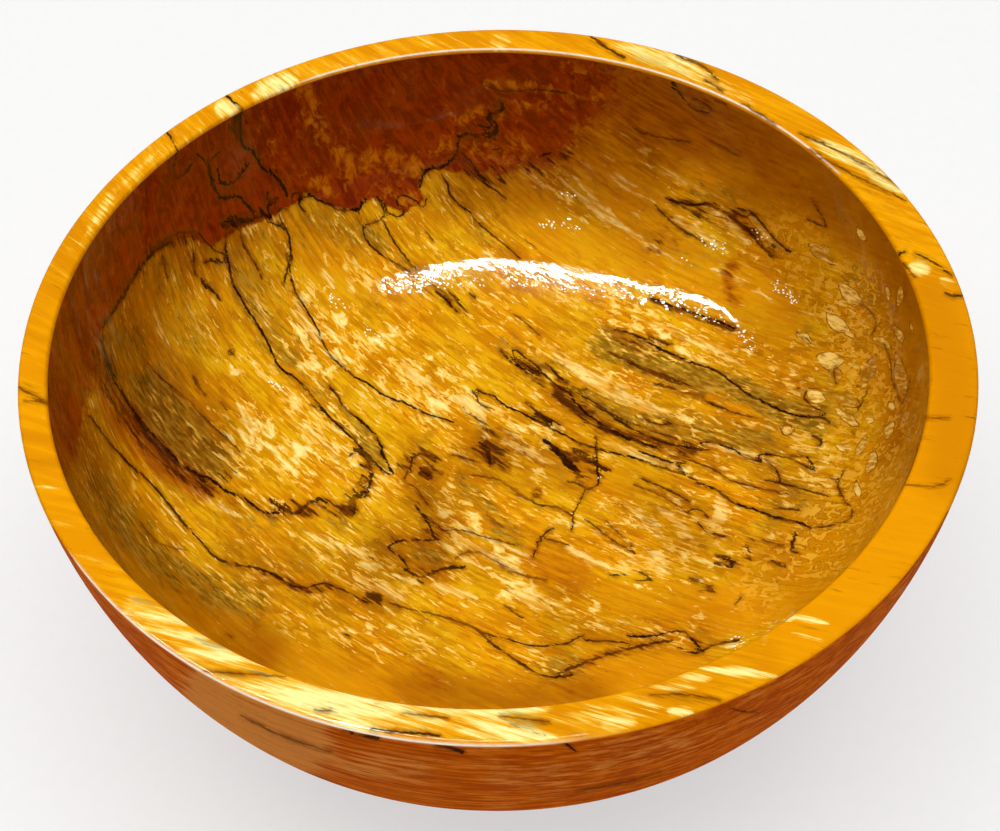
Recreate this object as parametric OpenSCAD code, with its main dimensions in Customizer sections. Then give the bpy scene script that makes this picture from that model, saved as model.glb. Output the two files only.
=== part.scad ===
// Bead spinner: a turned wooden bowl that spins on a ball bearing in a small turned stand.
// Beads are poured into the bowl, the rim is pushed round by hand, and a threaded needle
// held against the moving beads picks them up.
// Millimetres, +Z up. The origin is on the table, on the axis of spin.
// The hollow's centre lies a little towards -X, so the rim is wider on the +X side.

/* [Bowl] */
// Outer diameter of the rim
rim_d = 200; // [190:1:230]
// Width of the flat rim, on average
rim_w = 8; // [6.5:0.5:10]
// How far the hollow sits off the bowl's own centre
hollow_shift = 2; // [0:0.5:3]
// Height of the bowl from its foot to its rim
bowl_h = 64; // [62:0.5:74]
// Thickness of the floor over the chuck recess
floor_t = 8; // [7:0.5:11]
// Round on both edges of the rim
edge_round = 1; // [0.5:0.1:2]

/* [Bowl outside] */
// Lean of the outer wall at the rim, from upright
wall_lean = 3.5; // [2:0.5:6]
// Radius of the outer wall's long curve
wall_sweep_r = 124; // [105:1:130]
// Lean where the long curve ends
wall_turn = 22; // [16:1:23]
// Radius of the corner under the wall
corner_r = 26; // [18:1:28]
// Slope of the underside between corner and foot
under_slope = 8; // [4:0.5:9]
// Diameter of the foot ring
foot_d = 88; // [76:1:96]
// Height of the foot ring
foot_h = 3; // [2:0.5:5]
// Diameter of the chuck recess at its mouth
recess_d = 50; // [48:1:56]
// Depth of the chuck recess
recess_depth = 4; // [3.5:0.5:5]
// Undercut of the chuck recess's dovetailed wall
dovetail = 1; // [0.5:0.1:1.5]

/* [Bowl inside] */
// Lean of the inner wall at the rim, from upright
hollow_lean = 4; // [2:0.5:8]
// Radius of the inner wall's long curve
hollow_sweep_r = 100; // [80:1:110]
// Lean where the inner long curve ends
hollow_turn = 18; // [12:1:19]
// Radius of the corner between wall and floor
hollow_corner_r = 29; // [22:1:31]
// Slope of the floor where the corner meets it
floor_slope = 12; // [8:0.5:13]

/* [Stand] */
// Diameter of the stand at its lip
stand_d = 120; // [114:1:140]
// Height of the wooden stand
stand_h = 16; // [15:0.5:22]
// Round under the lip
lip_round = 1.5; // [0.5:0.1:2]
// Width of the flat ledge on top of the lip
ledge_w = 4; // [2:0.5:5]
// Radius of the cove above the lip
cove_r = 6; // [4:0.5:7]
// Radius of the bead round the top
bead_r = 2.2; // [1.5:0.1:2.6]
// How far the bead stands out of the cove
bead_out = 1; // [0.5:0.1:2]
// Running gap between the stand and the bowl's foot
run_gap = 2.5; // [2:0.5:5]

/* [Bearing] */
// Bore of the ball bearing
bearing_bore = 8; // [7.6:0.1:8.2]
// Outer diameter of the ball bearing
bearing_d = 22; // [22:0.5:24]
// Width of the ball bearing
bearing_w = 7; // [7:0.5:8]
// Diameter of the circle through the ball centres
ball_circle_d = 15; // [14.8:0.1:15.2]
// Diameter of one ball
ball_d = 3.969; // [3.6:0.001:4]
// Number of balls
ball_count = 7; // [6:1:7]
// Outside diameter of the inner ring's shoulders
inner_land_d = 12.1; // [11.8:0.1:12.3]
// Bore of the outer ring's shoulders
outer_land_d = 18.4; // [18.2:0.1:18.6]
// Gap between a ball and the bottom of its groove
ball_clear = 0.06; // [0.03:0.01:0.1]
// Thickness of a dust shield
shield_t = 0.3; // [0.2:0.1:0.4]
// Depth of a shield's seat below the ring's face
shield_sink = 0.6; // [0.4:0.1:0.7]

/* [Spindle] */
// Diameter of the spindle's mounting flange
flange_d = 44; // [42:1:46]
// Thickness of the flange
flange_t = 2.5; // [2:0.1:3]
// Diameter of the collar that stands on the inner ring
collar_d = 12; // [11:0.1:12]
// Thickness of the shim under the inner ring
shim_t = 0.5; // [0.3:0.1:0.8]
// Outer diameter of the shim
shim_d = 14; // [12:0.5:14]
// Thickness of the retaining ring
clip_t = 0.8; // [0.6:0.1:1]
// Depth of the retaining ring's groove in the shaft
groove_depth = 0.2; // [0.1:0.05:0.3]
// Length of shaft below the retaining ring
tail_l = 1.6; // [1:0.1:2]

/* [Fasteners and feet] */
// Diameter of the circle of flange screws
flange_screw_circle = 33; // [31:0.5:34]
// Shank diameter of a flange screw
flange_screw_d = 3; // [2.5:0.1:3.5]
// How far a flange screw goes into the bowl's floor
flange_screw_bite = 5.5; // [4:0.5:6]
// Outer diameter of the bearing's cover plate
cover_d = 44; // [42:1:46]
// Thickness of the cover plate
cover_t = 1.2; // [1:0.1:1.5]
// Hole in the cover plate
cover_hole_d = 17; // [16:0.5:18]
// Diameter of the circle of cover screws
cover_screw_circle = 33; // [32:0.5:34]
// Shank diameter of a cover screw
cover_screw_d = 2.5; // [2:0.1:2.8]
// Length of a cover screw, head included
cover_screw_l = 9; // [7:0.5:11]
// Diameter of one rubber foot
pad_d = 16; // [14:0.5:18]
// How far a rubber foot stands out of the wood
pad_stand = 3; // [2.5:0.5:6]
// How deep a rubber foot is let into the wood
pad_sink = 1; // [0.5:0.1:2]
// Diameter of the circle of rubber feet
pad_circle = 92; // [84:1:96]
// Shank diameter of a foot screw
pad_screw_d = 3; // [2.5:0.1:3.5]
// Length of a foot screw under its head
pad_screw_l = 9; // [6:0.5:11]

/* [Hidden] */
$fn = 96;
arc_step = 3;          // degrees between points on a long curve
round_step = 15;       // degrees between points on a small round
small_r = 8;           // arcs of less than this radius are small rounds
cut_over = 1;          // how far a cut runs past the face it opens
seat_clear = 0.02;     // slip fit of bearing, shaft and plates in their seats
screw_clear = 0.05;    // room round a screw's shank
cage_clear = 0.1;      // room between a ball and its pocket
shield_clear = 0.4;    // room between a shield and the inner ring
clip_clear = 0.1;      // end float of the retaining ring in its groove

rim_r = rim_d / 2;
stand_z = pad_stand;
stand_top = stand_z + stand_h;
foot_z = stand_top + run_gap;
rim_z = foot_z + bowl_h;
recess_z = foot_z + recess_depth;
hollow_depth = bowl_h - recess_depth - floor_t;
flange_screw_l = flange_t + flange_screw_bite;

cover_z = stand_top - cover_t;
bearing_top = cover_z;
bearing_z = bearing_top - bearing_w;
bearing_mid = bearing_z + bearing_w / 2;
shim_z = bearing_z - shim_t;
clip_z = shim_z - clip_t - clip_clear / 2;
groove_z = shim_z - clip_t - clip_clear;
tail_z = groove_z - tail_l;
shaft_r = bearing_bore / 2 - seat_clear;
groove_r = shaft_r - groove_depth;
flange_z = recess_z - flange_t;
ball_r = ball_d / 2;
race_r = ball_r + ball_clear;
shield_seat_r = outer_land_d / 2 + 0.5;
shield_z = bearing_w / 2 - shield_sink - shield_t;

// Points along an arc that starts at p and turns from one heading to another.
// A heading is the direction of travel in degrees, 0 along +X and 90 along +Y.
function arc(p, from, to, r) =
    let (side = to > from ? 1 : -1,
         steps = ceil(abs(to - from) / (r < small_r ? round_step : arc_step)),
         centre = p + side * r * [-sin(from), cos(from)])
    [for (i = [1 : steps])
        let (h = from + (to - from) * i / steps)
        centre - side * r * [-sin(h), cos(h)]];

function ahead(p, heading, distance) = p + distance * [cos(heading), sin(heading)];

function last(points) = points[len(points) - 1];

// Outside of the bowl from the rim's flat down to the foot, with z = 0 at the rim:
// edge round, long curve, a straight stretch that makes up the height, corner, underside.
function outside_path() =
    let (leaned = -(90 + wall_lean), turned = -(90 + wall_turn), under = -(180 - under_slope),
         foot_r = foot_d / 2,
         edge = arc([rim_r - edge_round, 0], 0, leaned, edge_round),
         sweep = arc(last(edge), leaned, turned, wall_sweep_r),
         corner0 = last(arc(last(sweep), turned, under, corner_r)),
         rise = tan(under_slope),
         short = corner0[1] - (corner0[0] - foot_r) * rise + bowl_h - foot_h,
         straight = short / (cos(wall_turn) - rise * sin(wall_turn)),
         corner = arc(ahead(last(sweep), turned, straight), turned, under, corner_r))
    concat([[rim_r - edge_round, 0]], edge, sweep, corner, [[foot_r, foot_h - bowl_h]]);

// Inside of the bowl from the rim's flat down to the middle of the floor, in the same way:
// edge round, long curve, a straight stretch that makes up the depth, corner, dished floor.
function inside_path() =
    let (mouth_r = rim_r - rim_w,
         leaned = 270 - hollow_lean, turned = 270 - hollow_turn, floor_h = 180 + floor_slope,
         edge = arc([mouth_r + edge_round, 0], 180, leaned, edge_round),
         sweep = arc(last(edge), leaned, turned, hollow_sweep_r),
         corner0 = last(arc(last(sweep), turned, floor_h, hollow_corner_r)),
         dish = tan(floor_slope / 2),
         short = corner0[1] - corner0[0] * dish + hollow_depth,
         straight = short / (cos(hollow_turn) - dish * sin(hollow_turn)),
         corner = arc(ahead(last(sweep), turned, straight), turned, floor_h, hollow_corner_r),
         floor_r = last(corner)[0] / sin(floor_slope))
    concat([[mouth_r + edge_round, 0]], edge, sweep, corner, arc(last(corner), floor_h, 180, floor_r));

// Copies its children round the axis.
module ring_of(count, circle_d, first = 0) {
    for (i = [0 : count - 1])
        rotate([0, 0, first + i * 360 / count])
            translate([circle_d / 2, 0, 0])
                children();
}

// A cross recess, cut into a screw head whose face is at z = 0, downwards.
module cross_recess(head_d) {
    arm = head_d * 0.6;
    wide = head_d * 0.14;
    deep = head_d * 0.2;
    for (a = [0, 90])
        rotate([0, 0, a])
            translate([-arm / 2, -wide / 2, -deep])
                cube([arm, wide, deep + cut_over]);
}

// A countersunk wood screw whose head is flush at z = 0 and whose point is below.
module countersunk_screw(shank_d, length) {
    head_r = shank_d;
    head_h = shank_d / 2;
    difference() {
        rotate_extrude()
            polygon([[0, 0], [head_r, 0], [shank_d / 2, -head_h],
                     [shank_d / 2, shank_d - length], [0, -length]]);
        cross_recess(2 * head_r);
    }
}

// The hole that the countersunk screw sits in.
module countersunk_hole(shank_d, length) {
    room = shank_d / 2 + screw_clear;
    rotate_extrude()
        polygon([[0, cut_over], [shank_d + screw_clear + cut_over, cut_over],
                 [room, -shank_d / 2], [room, screw_clear - length], [0, screw_clear - length]]);
}

// A pan head screw, head up: the head's underside is at z = 0 and its shank is below.
module pan_head_screw(shank_d, length) {
    head_r = shank_d;
    head_h = shank_d * 0.6;
    crown = shank_d * 0.25;
    difference() {
        rotate_extrude()
            polygon(concat([[0, 0], [0, -length], [shank_d / 2, shank_d / 2 - length], [shank_d / 2, 0],
                            [head_r, 0], [head_r, head_h - crown]],
                           arc([head_r, head_h - crown], 90, 180, crown),
                           [[0, head_h]]));
        translate([0, 0, head_h])
            cross_recess(2 * head_r);
    }
}

// The bowl is one turned blank: outside, hollow and chuck recess, drilled for its spindle.
module bowl() {
    color("goldenrod")
        difference() {
            translate([0, 0, rim_z])
                rotate_extrude($fn = 180)
                    polygon(concat(outside_path(),
                                   [[foot_d / 2, -bowl_h], [0, -bowl_h], [0, 0]]));
            translate([-hollow_shift, 0, rim_z])
                rotate_extrude($fn = 180)
                    polygon(concat([[0, cut_over], [rim_r - rim_w + edge_round, cut_over]], inside_path()));
            translate([0, 0, foot_z])
                cylinder(d1 = recess_d, d2 = recess_d + 2 * dovetail, h = recess_depth);
            translate([0, 0, foot_z - cut_over])
                cylinder(d = recess_d, h = 2 * cut_over);
            ring_of(4, flange_screw_circle, 45)
                translate([0, 0, flange_z])
                    cylinder(d = flange_screw_d + 2 * screw_clear, h = flange_screw_l + screw_clear);
        }
}

// Flange, collar and shaft, turned from one steel bar. The flange screws to the bowl.
module spindle() {
    tip = groove_depth + 0.2;
    color("silver")
        difference() {
            rotate_extrude()
                polygon([[0, tail_z], [shaft_r - tip, tail_z], [shaft_r, tail_z + tip],
                         [shaft_r, groove_z], [groove_r, groove_z], [groove_r, shim_z], [shaft_r, shim_z],
                         [shaft_r, bearing_top], [collar_d / 2, bearing_top], [collar_d / 2, flange_z],
                         [flange_d / 2, flange_z], [flange_d / 2, recess_z], [0, recess_z]]);
            ring_of(4, flange_screw_circle, 45)
                translate([0, 0, flange_z])
                    mirror([0, 0, 1])
                        countersunk_hole(flange_screw_d, flange_screw_l);
        }
}

module flange_screws() {
    color("gainsboro")
        ring_of(4, flange_screw_circle, 45)
            translate([0, 0, flange_z])
                mirror([0, 0, 1])
                    countersunk_screw(flange_screw_d, flange_screw_l);
}

// The groove that the balls run in, shared by both rings.
module race() {
    rotate_extrude()
        translate([ball_circle_d / 2, 0])
            circle(r = race_r, $fn = 48);
}

module bearing_inner_ring() {
    chamfer = 0.3;
    half = bearing_w / 2;
    color("lightsteelblue")
        translate([0, 0, bearing_mid])
            difference() {
                rotate_extrude()
                    polygon([[bearing_bore / 2, chamfer - half], [bearing_bore / 2 + chamfer, -half],
                             [inner_land_d / 2, -half], [inner_land_d / 2, half],
                             [bearing_bore / 2 + chamfer, half], [bearing_bore / 2, half - chamfer]]);
                race();
            }
}

module bearing_outer_ring() {
    chamfer = 0.3;
    half = bearing_w / 2;
    land_r = outer_land_d / 2;
    color("lightsteelblue")
        translate([0, 0, bearing_mid])
            difference() {
                rotate_extrude()
                    polygon([[land_r, -shield_z], [shield_seat_r, -shield_z], [shield_seat_r, -half],
                             [bearing_d / 2 - chamfer, -half], [bearing_d / 2, chamfer - half],
                             [bearing_d / 2, half - chamfer], [bearing_d / 2 - chamfer, half],
                             [shield_seat_r, half], [shield_seat_r, shield_z], [land_r, shield_z]]);
                race();
            }
}

module bearing_balls() {
    color("white")
        translate([0, 0, bearing_mid])
            ring_of(ball_count, ball_circle_d)
                sphere(d = ball_d, $fn = 48);
}

// A crown cage: a ring with a snap-in pocket for each ball and a gap between the prongs.
module bearing_cage() {
    inner_r = inner_land_d / 2 + shield_clear;
    outer_r = outer_land_d / 2 - 2 * shield_clear;
    pocket_r = ball_r + cage_clear;
    floor_z = -(shield_z - cage_clear);
    prong_z = ball_r * 0.55;
    gap_w = 1.7;
    gap_z = -ball_r * 0.4;
    color("burlywood")
        translate([0, 0, bearing_mid])
            difference() {
                rotate_extrude()
                    translate([inner_r, floor_z])
                        square([outer_r - inner_r, prong_z - floor_z]);
                ring_of(ball_count, ball_circle_d)
                    sphere(r = pocket_r, $fn = 48);
                ring_of(ball_count, ball_circle_d, 180 / ball_count)
                    translate([-ball_r, -gap_w / 2, gap_z])
                        cube([ball_d, gap_w, prong_z - gap_z + cut_over]);
            }
}

// A thin dished washer that sits in the outer ring's step and clears the inner ring.
module shield() {
    dish_r = inner_land_d / 2 + shield_clear;
    rotate_extrude()
        polygon([[dish_r, shield_z], [shield_seat_r - seat_clear, shield_z],
                 [shield_seat_r - seat_clear, shield_z + shield_t + 0.15],
                 [shield_seat_r - 0.3, shield_z + shield_t + 0.15],
                 [shield_seat_r - 0.3, shield_z + shield_t], [dish_r, shield_z + shield_t]]);
}

module upper_shield() {
    color("lightgray")
        translate([0, 0, bearing_mid])
            shield();
}

module lower_shield() {
    color("lightgray")
        translate([0, 0, bearing_mid])
            mirror([0, 0, 1])
                shield();
}

module shim_washer() {
    color("silver")
        translate([0, 0, shim_z])
            difference() {
                cylinder(d = shim_d, h = shim_t);
                translate([0, 0, -cut_over])
                    cylinder(r = shaft_r + seat_clear, h = shim_t + 2 * cut_over);
            }
}

// An external retaining ring: a sprung crescent with two lugs drilled for pliers.
module retaining_ring() {
    beam = 1.5;
    lug_r = 1.3;
    lug_at = groove_r + lug_r + 0.35;
    lug_turn = 24;
    hole_r = 0.6;
    mouth = 14;
    reach = 3 * groove_r;
    color("dimgray")
        translate([0, 0, clip_z])
            difference() {
                union() {
                    translate([-0.2, 0, 0])
                        cylinder(r = groove_r + beam, h = clip_t);
                    for (a = [-lug_turn, lug_turn])
                        rotate([0, 0, a])
                            translate([lug_at, 0, 0])
                                cylinder(r = lug_r, h = clip_t, $fn = 32);
                }
                translate([0, 0, -cut_over])
                    cylinder(r = groove_r, h = clip_t + 2 * cut_over);
                for (a = [-lug_turn, lug_turn])
                    rotate([0, 0, a])
                        translate([lug_at, 0, -cut_over])
                            cylinder(r = hole_r, h = clip_t + 2 * cut_over, $fn = 24);
                translate([0, 0, -cut_over])
                    linear_extrude(clip_t + 2 * cut_over)
                        polygon([[0, 0], reach * [cos(mouth), -sin(mouth)], reach * [cos(mouth), sin(mouth)]]);
            }
}

// Edge of the stand from its underside up to its top: lip, ledge, cove and bead.
function stand_path() =
    let (ledge_round = 1,
         lip = arc([stand_d / 2 - lip_round, 0], 0, 90, lip_round),
         lip_top = [stand_d / 2, stand_h - 2 * bead_r - cove_r - ledge_round],
         ledge = arc(lip_top, 90, 180, ledge_round),
         cove = arc(ahead(last(ledge), 180, ledge_w), 180, 90, cove_r),
         bead = arc(last(cove) + [bead_out, 0], 0, 180, bead_r))
    concat([[stand_d / 2 - lip_round, 0]], lip, [lip_top], ledge, [ahead(last(ledge), 180, ledge_w)],
           cove, [last(cove) + [bead_out, 0]], bead);

// The stand is turned wood, bored from above for the bearing and its cover plate.
module stand() {
    color("sienna")
        difference() {
            translate([0, 0, stand_z])
                rotate_extrude($fn = 180)
                    polygon(concat([[0, 0]], stand_path(), [[0, stand_h]]));
            translate([0, 0, stand_z - cut_over])
                cylinder(d = cover_hole_d, h = stand_h);
            translate([0, 0, bearing_z])
                cylinder(r = bearing_d / 2 + seat_clear, h = bearing_w + cut_over);
            translate([0, 0, cover_z])
                cylinder(r = cover_d / 2 + screw_clear, h = cover_t + cut_over);
            ring_of(3, cover_screw_circle)
                translate([0, 0, stand_top])
                    countersunk_hole(cover_screw_d, cover_screw_l);
            ring_of(4, pad_circle, 45)
                translate([0, 0, stand_z - cut_over])
                    cylinder(r = pad_d / 2 + screw_clear, h = pad_sink + cut_over);
            ring_of(4, pad_circle, 45)
                translate([0, 0, stand_z])
                    cylinder(r = pad_screw_d / 2 + screw_clear, h = pad_screw_l, $fn = 48);
        }
}

// A steel plate, let in flush, that keeps the bearing down in its pocket.
module bearing_cover() {
    color("silver")
        difference() {
            translate([0, 0, cover_z])
                cylinder(d = cover_d, h = cover_t);
            translate([0, 0, cover_z - cut_over])
                cylinder(d = cover_hole_d, h = cover_t + 2 * cut_over);
            ring_of(3, cover_screw_circle)
                translate([0, 0, stand_top])
                    countersunk_hole(cover_screw_d, cover_screw_l);
        }
}

module cover_screws() {
    color("gainsboro")
        ring_of(3, cover_screw_circle)
            translate([0, 0, stand_top])
                countersunk_screw(cover_screw_d, cover_screw_l);
}

// How thick the rubber is above a foot screw's head.
function pad_web() = pad_sink + pad_stand - pad_screw_d * 0.6 - 0.8;

// A tapered rubber foot with a counterbored hole for its screw.
module rubber_feet() {
    top = stand_z + pad_sink;
    taper = 1;
    foot_round = 0.6;
    sole_r = pad_d / 2 - taper;
    color("dimgray")
        ring_of(4, pad_circle, 45)
            difference() {
                rotate_extrude($fn = 48)
                    polygon([[0, top], [0, 0], [sole_r - foot_round, 0], [sole_r, foot_round],
                             [pad_d / 2, stand_z], [pad_d / 2, top]]);
                translate([0, 0, -cut_over])
                    cylinder(r = pad_screw_d + 0.5, h = top - pad_web() + cut_over, $fn = 48);
                cylinder(r = pad_screw_d / 2 + screw_clear, h = top + cut_over, $fn = 48);
            }
}

module foot_screws() {
    color("gainsboro")
        ring_of(4, pad_circle, 45)
            translate([0, 0, stand_z + pad_sink - pad_web()])
                mirror([0, 0, 1])
                    pan_head_screw(pad_screw_d, pad_screw_l);
}

bowl();
spindle();
flange_screws();
bearing_inner_ring();
bearing_outer_ring();
bearing_balls();
bearing_cage();
upper_shield();
lower_shield();
shim_washer();
retaining_ring();
stand();
bearing_cover();
cover_screws();
rubber_feet();
foot_screws();
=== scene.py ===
"""Looks of the bead spinner: a turned bowl of spalted wood with a gloss lacquer, on a small stand.

The bowl's mesh follows the CAD profile. Its zone lines, stains and grain are laid out by points
that were chosen in the photograph's frame (1000 x 831), and the materials are node-based.
"""

import math

import bpy
import numpy as np
from mathutils import Matrix, Vector


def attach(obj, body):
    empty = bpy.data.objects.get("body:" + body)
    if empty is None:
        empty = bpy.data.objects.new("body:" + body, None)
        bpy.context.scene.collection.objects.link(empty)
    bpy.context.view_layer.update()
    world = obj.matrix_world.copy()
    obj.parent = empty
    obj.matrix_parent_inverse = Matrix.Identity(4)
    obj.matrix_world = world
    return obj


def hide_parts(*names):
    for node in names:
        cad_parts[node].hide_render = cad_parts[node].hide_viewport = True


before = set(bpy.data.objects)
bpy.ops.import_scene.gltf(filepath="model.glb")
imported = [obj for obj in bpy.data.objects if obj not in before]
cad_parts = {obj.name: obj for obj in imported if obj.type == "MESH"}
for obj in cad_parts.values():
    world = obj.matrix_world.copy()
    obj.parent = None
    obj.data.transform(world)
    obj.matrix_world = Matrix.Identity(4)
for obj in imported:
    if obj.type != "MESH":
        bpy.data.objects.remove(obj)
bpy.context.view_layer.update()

# ---------------------------------------------------------------- the camera of the photograph
FRAME_PX = 1000.0
SENSOR_MM = 36.0
LENS_PX = 1830.0
CENTRE_PX = (500.0, 415.5)
EYE = np.array([0.0, -0.261774, 0.369249])
RIGHT = np.array([0.999829, -0.014630, -0.011341])
UP = np.array([0.018497, 0.766588, 0.641873])
BACK = np.array([-0.000697, -0.641972, 0.766727])


def link(name, data):
    thing = bpy.data.objects.new(name, data)
    bpy.context.scene.collection.objects.link(thing)
    return thing


def add_camera():
    data = bpy.data.cameras.new("camera")
    data.sensor_width = SENSOR_MM
    data.sensor_fit = "HORIZONTAL"
    data.lens = SENSOR_MM * LENS_PX / FRAME_PX
    data.clip_start = 0.01
    data.clip_end = 30.0
    cam = link("camera", data)
    turn = Matrix([[RIGHT[i], UP[i], BACK[i]] for i in range(3)]).to_4x4()
    cam.matrix_world = Matrix.Translation(Vector(EYE)) @ turn
    bpy.context.scene.camera = cam


def in_photo(points):
    """Where points (metres) fall in the photograph's frame, in pixels."""
    d = points - EYE
    depth = -d @ BACK
    return CENTRE_PX[0] + LENS_PX * (d @ RIGHT) / depth, CENTRE_PX[1] - LENS_PX * (d @ UP) / depth


# ---------------------------------------------------------------- the bowl's profile, in millimetres
RIM_R = 100.0
RIM_W = 8.0
RIM_Z = 85.5
SHIFT = 2.0
EDGE = 1.0
FOOT_R = 44.0
FOOT_H = 3.0
BOWL_H = 64.0
HOLLOW_DEPTH = 52.0
RECESS_R = 25.0
RECESS_DEPTH = 4.0
DOVETAIL = 1.0


def arc(start, turn_from, turn_to, radius, steps=20):
    """Points of an arc from start, its heading turning from one angle to another (degrees)."""
    side = 1 if turn_to > turn_from else -1
    h0 = math.radians(turn_from)
    cx = start[0] - side * radius * math.sin(h0)
    cz = start[1] + side * radius * math.cos(h0)
    h = np.radians(turn_from + (turn_to - turn_from) * np.arange(1, steps + 1) / steps)
    return list(zip(cx + side * radius * np.sin(h), cz - side * radius * np.cos(h)))


def ahead(start, heading, length):
    h = math.radians(heading)
    return (start[0] + length * math.cos(h), start[1] + length * math.sin(h))


# The default values are those of part.scad: angles in degrees, radii in millimetres
def outside_path(lean=3.5, sweep=124.0, turn=22.0, corner=26.0, under=8.0):
    l, t, u = -(90 + lean), -(90 + turn), -(180 - under)
    edge = arc((RIM_R - EDGE, 0), 0, l, EDGE, 6)
    wall = arc(edge[-1], l, t, sweep)
    low = arc(wall[-1], t, u, corner)[-1]
    rise = math.tan(math.radians(under))
    short = low[1] - (low[0] - FOOT_R) * rise + BOWL_H - FOOT_H
    run = short / (math.cos(math.radians(turn)) - rise * math.sin(math.radians(turn)))
    path = [(RIM_R - EDGE, 0)] + edge + wall + arc(ahead(wall[-1], t, run), t, u, corner)
    return path + [(FOOT_R, FOOT_H - BOWL_H)]


def inside_path(lean=4.0, sweep=100.0, turn=18.0, corner=29.0, slope=12.0):
    m = RIM_R - RIM_W
    l, t, s = 270 - lean, 270 - turn, 180 + slope
    edge = arc((m + EDGE, 0), 180, l, EDGE, 6)
    wall = arc(edge[-1], l, t, sweep, 160)
    low = arc(wall[-1], t, s, corner)[-1]
    dish = math.tan(math.radians(slope / 2))
    short = low[1] - low[0] * dish + HOLLOW_DEPTH
    run = short / (math.cos(math.radians(turn)) - dish * math.sin(math.radians(turn)))
    side = arc(ahead(wall[-1], t, run), t, s, corner, 240)
    floor_r = side[-1][0] / math.sin(math.radians(slope))
    return [(m + EDGE, 0)] + edge + wall + side + arc(side[-1], s, 180, floor_r, 160)


def walk(path, step):
    """Points along a path no more than a step apart, its own corners kept."""
    out = [path[0]]
    for a, b in zip(path, path[1:]):
        n = max(1, math.ceil(math.dist(a, b) / step))
        out += [(a[0] + (b[0] - a[0]) * k / n, a[1] + (b[1] - a[1]) * k / n) for k in range(1, n + 1)]
    return np.array(out)


# ---------------------------------------------------------------- the bowl's mesh
HALF = 250
LIP = 2.2
LIP_RINGS = 6
RIM_RINGS = 15
WALL_STEP = 1.5
CHAMFER = 0.5
RECESS_CHAMFER = 0.3
BORE_R = 4.0


def hollow_grid():
    """The hollow as a square grid drawn out to a disk: points and flat coordinates (mm), quads, border, its angles."""
    path = np.array(inside_path())[::-1]
    along = np.concatenate([[0], np.cumsum(np.hypot(*np.diff(path, axis=0).T))])
    smooth = along[-1] - LIP
    lip = smooth + LIP * np.arange(1, LIP_RINGS + 1) / LIP_RINGS
    rings = np.concatenate([np.linspace(0, smooth, HALF - LIP_RINGS + 1), lip])
    index = np.arange(-HALF, HALF + 1)
    a, b = np.meshgrid(index, index, indexing="ij")
    safe_a, safe_b = np.where(a == 0, 1, a), np.where(b == 0, 1, b)
    angle = np.where(
        abs(a) >= abs(b),
        math.pi / 4 * b / safe_a + np.where(a < 0, math.pi, 0),
        math.pi / 2 - math.pi / 4 * a / safe_b + np.where(b < 0, math.pi, 0),
    )
    s = rings[np.maximum(abs(a), abs(b))]
    r, z = np.interp(s, along, path[:, 0]), np.interp(s, along, path[:, 1])
    points = np.stack([r * np.cos(angle) - SHIFT, r * np.sin(angle), z], -1).reshape(-1, 3)
    flat = np.stack([s * np.cos(angle), s * np.sin(angle)], -1).reshape(-1, 2)
    ids = np.arange(len(points)).reshape(a.shape)
    quads = np.stack([ids[:-1, :-1], ids[1:, :-1], ids[1:, 1:], ids[:-1, 1:]], -1).reshape(-1, 4)
    border = np.concatenate([ids[-1, :-1], ids[:0:-1, -1], ids[0, :0:-1], ids[:-1, 0]])
    return points, flat, quads, border, np.unwrap(angle.reshape(-1)[border])


def bowl_mesh():
    """Points (m), quads, a fan, and for each point its part (0 inside, 1 rim, 2 outside) and flat coordinates (mm)."""
    inner, flat, grid, last, turn = hollow_grid()
    cos, sin = np.cos(turn), np.sin(turn)
    points, flats, parts, quads = [inner], [flat], [np.zeros(len(inner))], [grid]
    count = len(inner)

    def add_ring(x, y, height, part):
        nonlocal last, count
        new = np.arange(count, count + len(turn))
        points.append(np.stack([x, y, np.full(len(turn), height)], -1))
        flats.append(points[-1][:, :2])
        parts.append(np.full(len(turn), part))
        quads.append(np.stack([last, new, np.roll(new, -1), np.roll(last, -1)], -1))
        last, count = new, count + len(turn)

    inner_r, outer_r = RIM_R - RIM_W + EDGE, RIM_R - EDGE
    for k in range(1, RIM_RINGS + 1):
        t = k / RIM_RINGS
        x = (1 - t) * (inner_r * cos - SHIFT) + t * outer_r * cos
        add_ring(x, (1 - t) * inner_r * sin + t * outer_r * sin, 0.0, 1)
    under = -BOWL_H + RECESS_DEPTH
    tail = [
        (FOOT_R, -BOWL_H + CHAMFER), (FOOT_R - CHAMFER, -BOWL_H), (RECESS_R + RECESS_CHAMFER, -BOWL_H),
        (RECESS_R, -BOWL_H + RECESS_CHAMFER), (RECESS_R + DOVETAIL, under), (BORE_R, under),
    ]
    for r, z in walk(outside_path() + tail, WALL_STEP)[1:]:
        add_ring(r * cos, r * sin, z, 2)
    points.append(np.array([[0, 0, under]]))
    flats.append(np.zeros((1, 2)))
    parts.append(np.array([2]))
    fan = np.stack([last, np.full(len(last), count), np.roll(last, -1)], -1)
    points = np.concatenate(points)
    points[:, 2] += RIM_Z
    return points * 0.001, np.concatenate(quads), fan, np.concatenate(parts), np.concatenate(flats)


# ---------------------------------------------------------------- laying out by listed points
# All in the photograph's pixels: how far off a line or chip is when none is near, and how long the short
# stretches of a line are and how far they are shaken
FAR = 9.0
CHIP_FAR = 8.0
STRETCH = 3.5
SHAKE = 0.34


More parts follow.
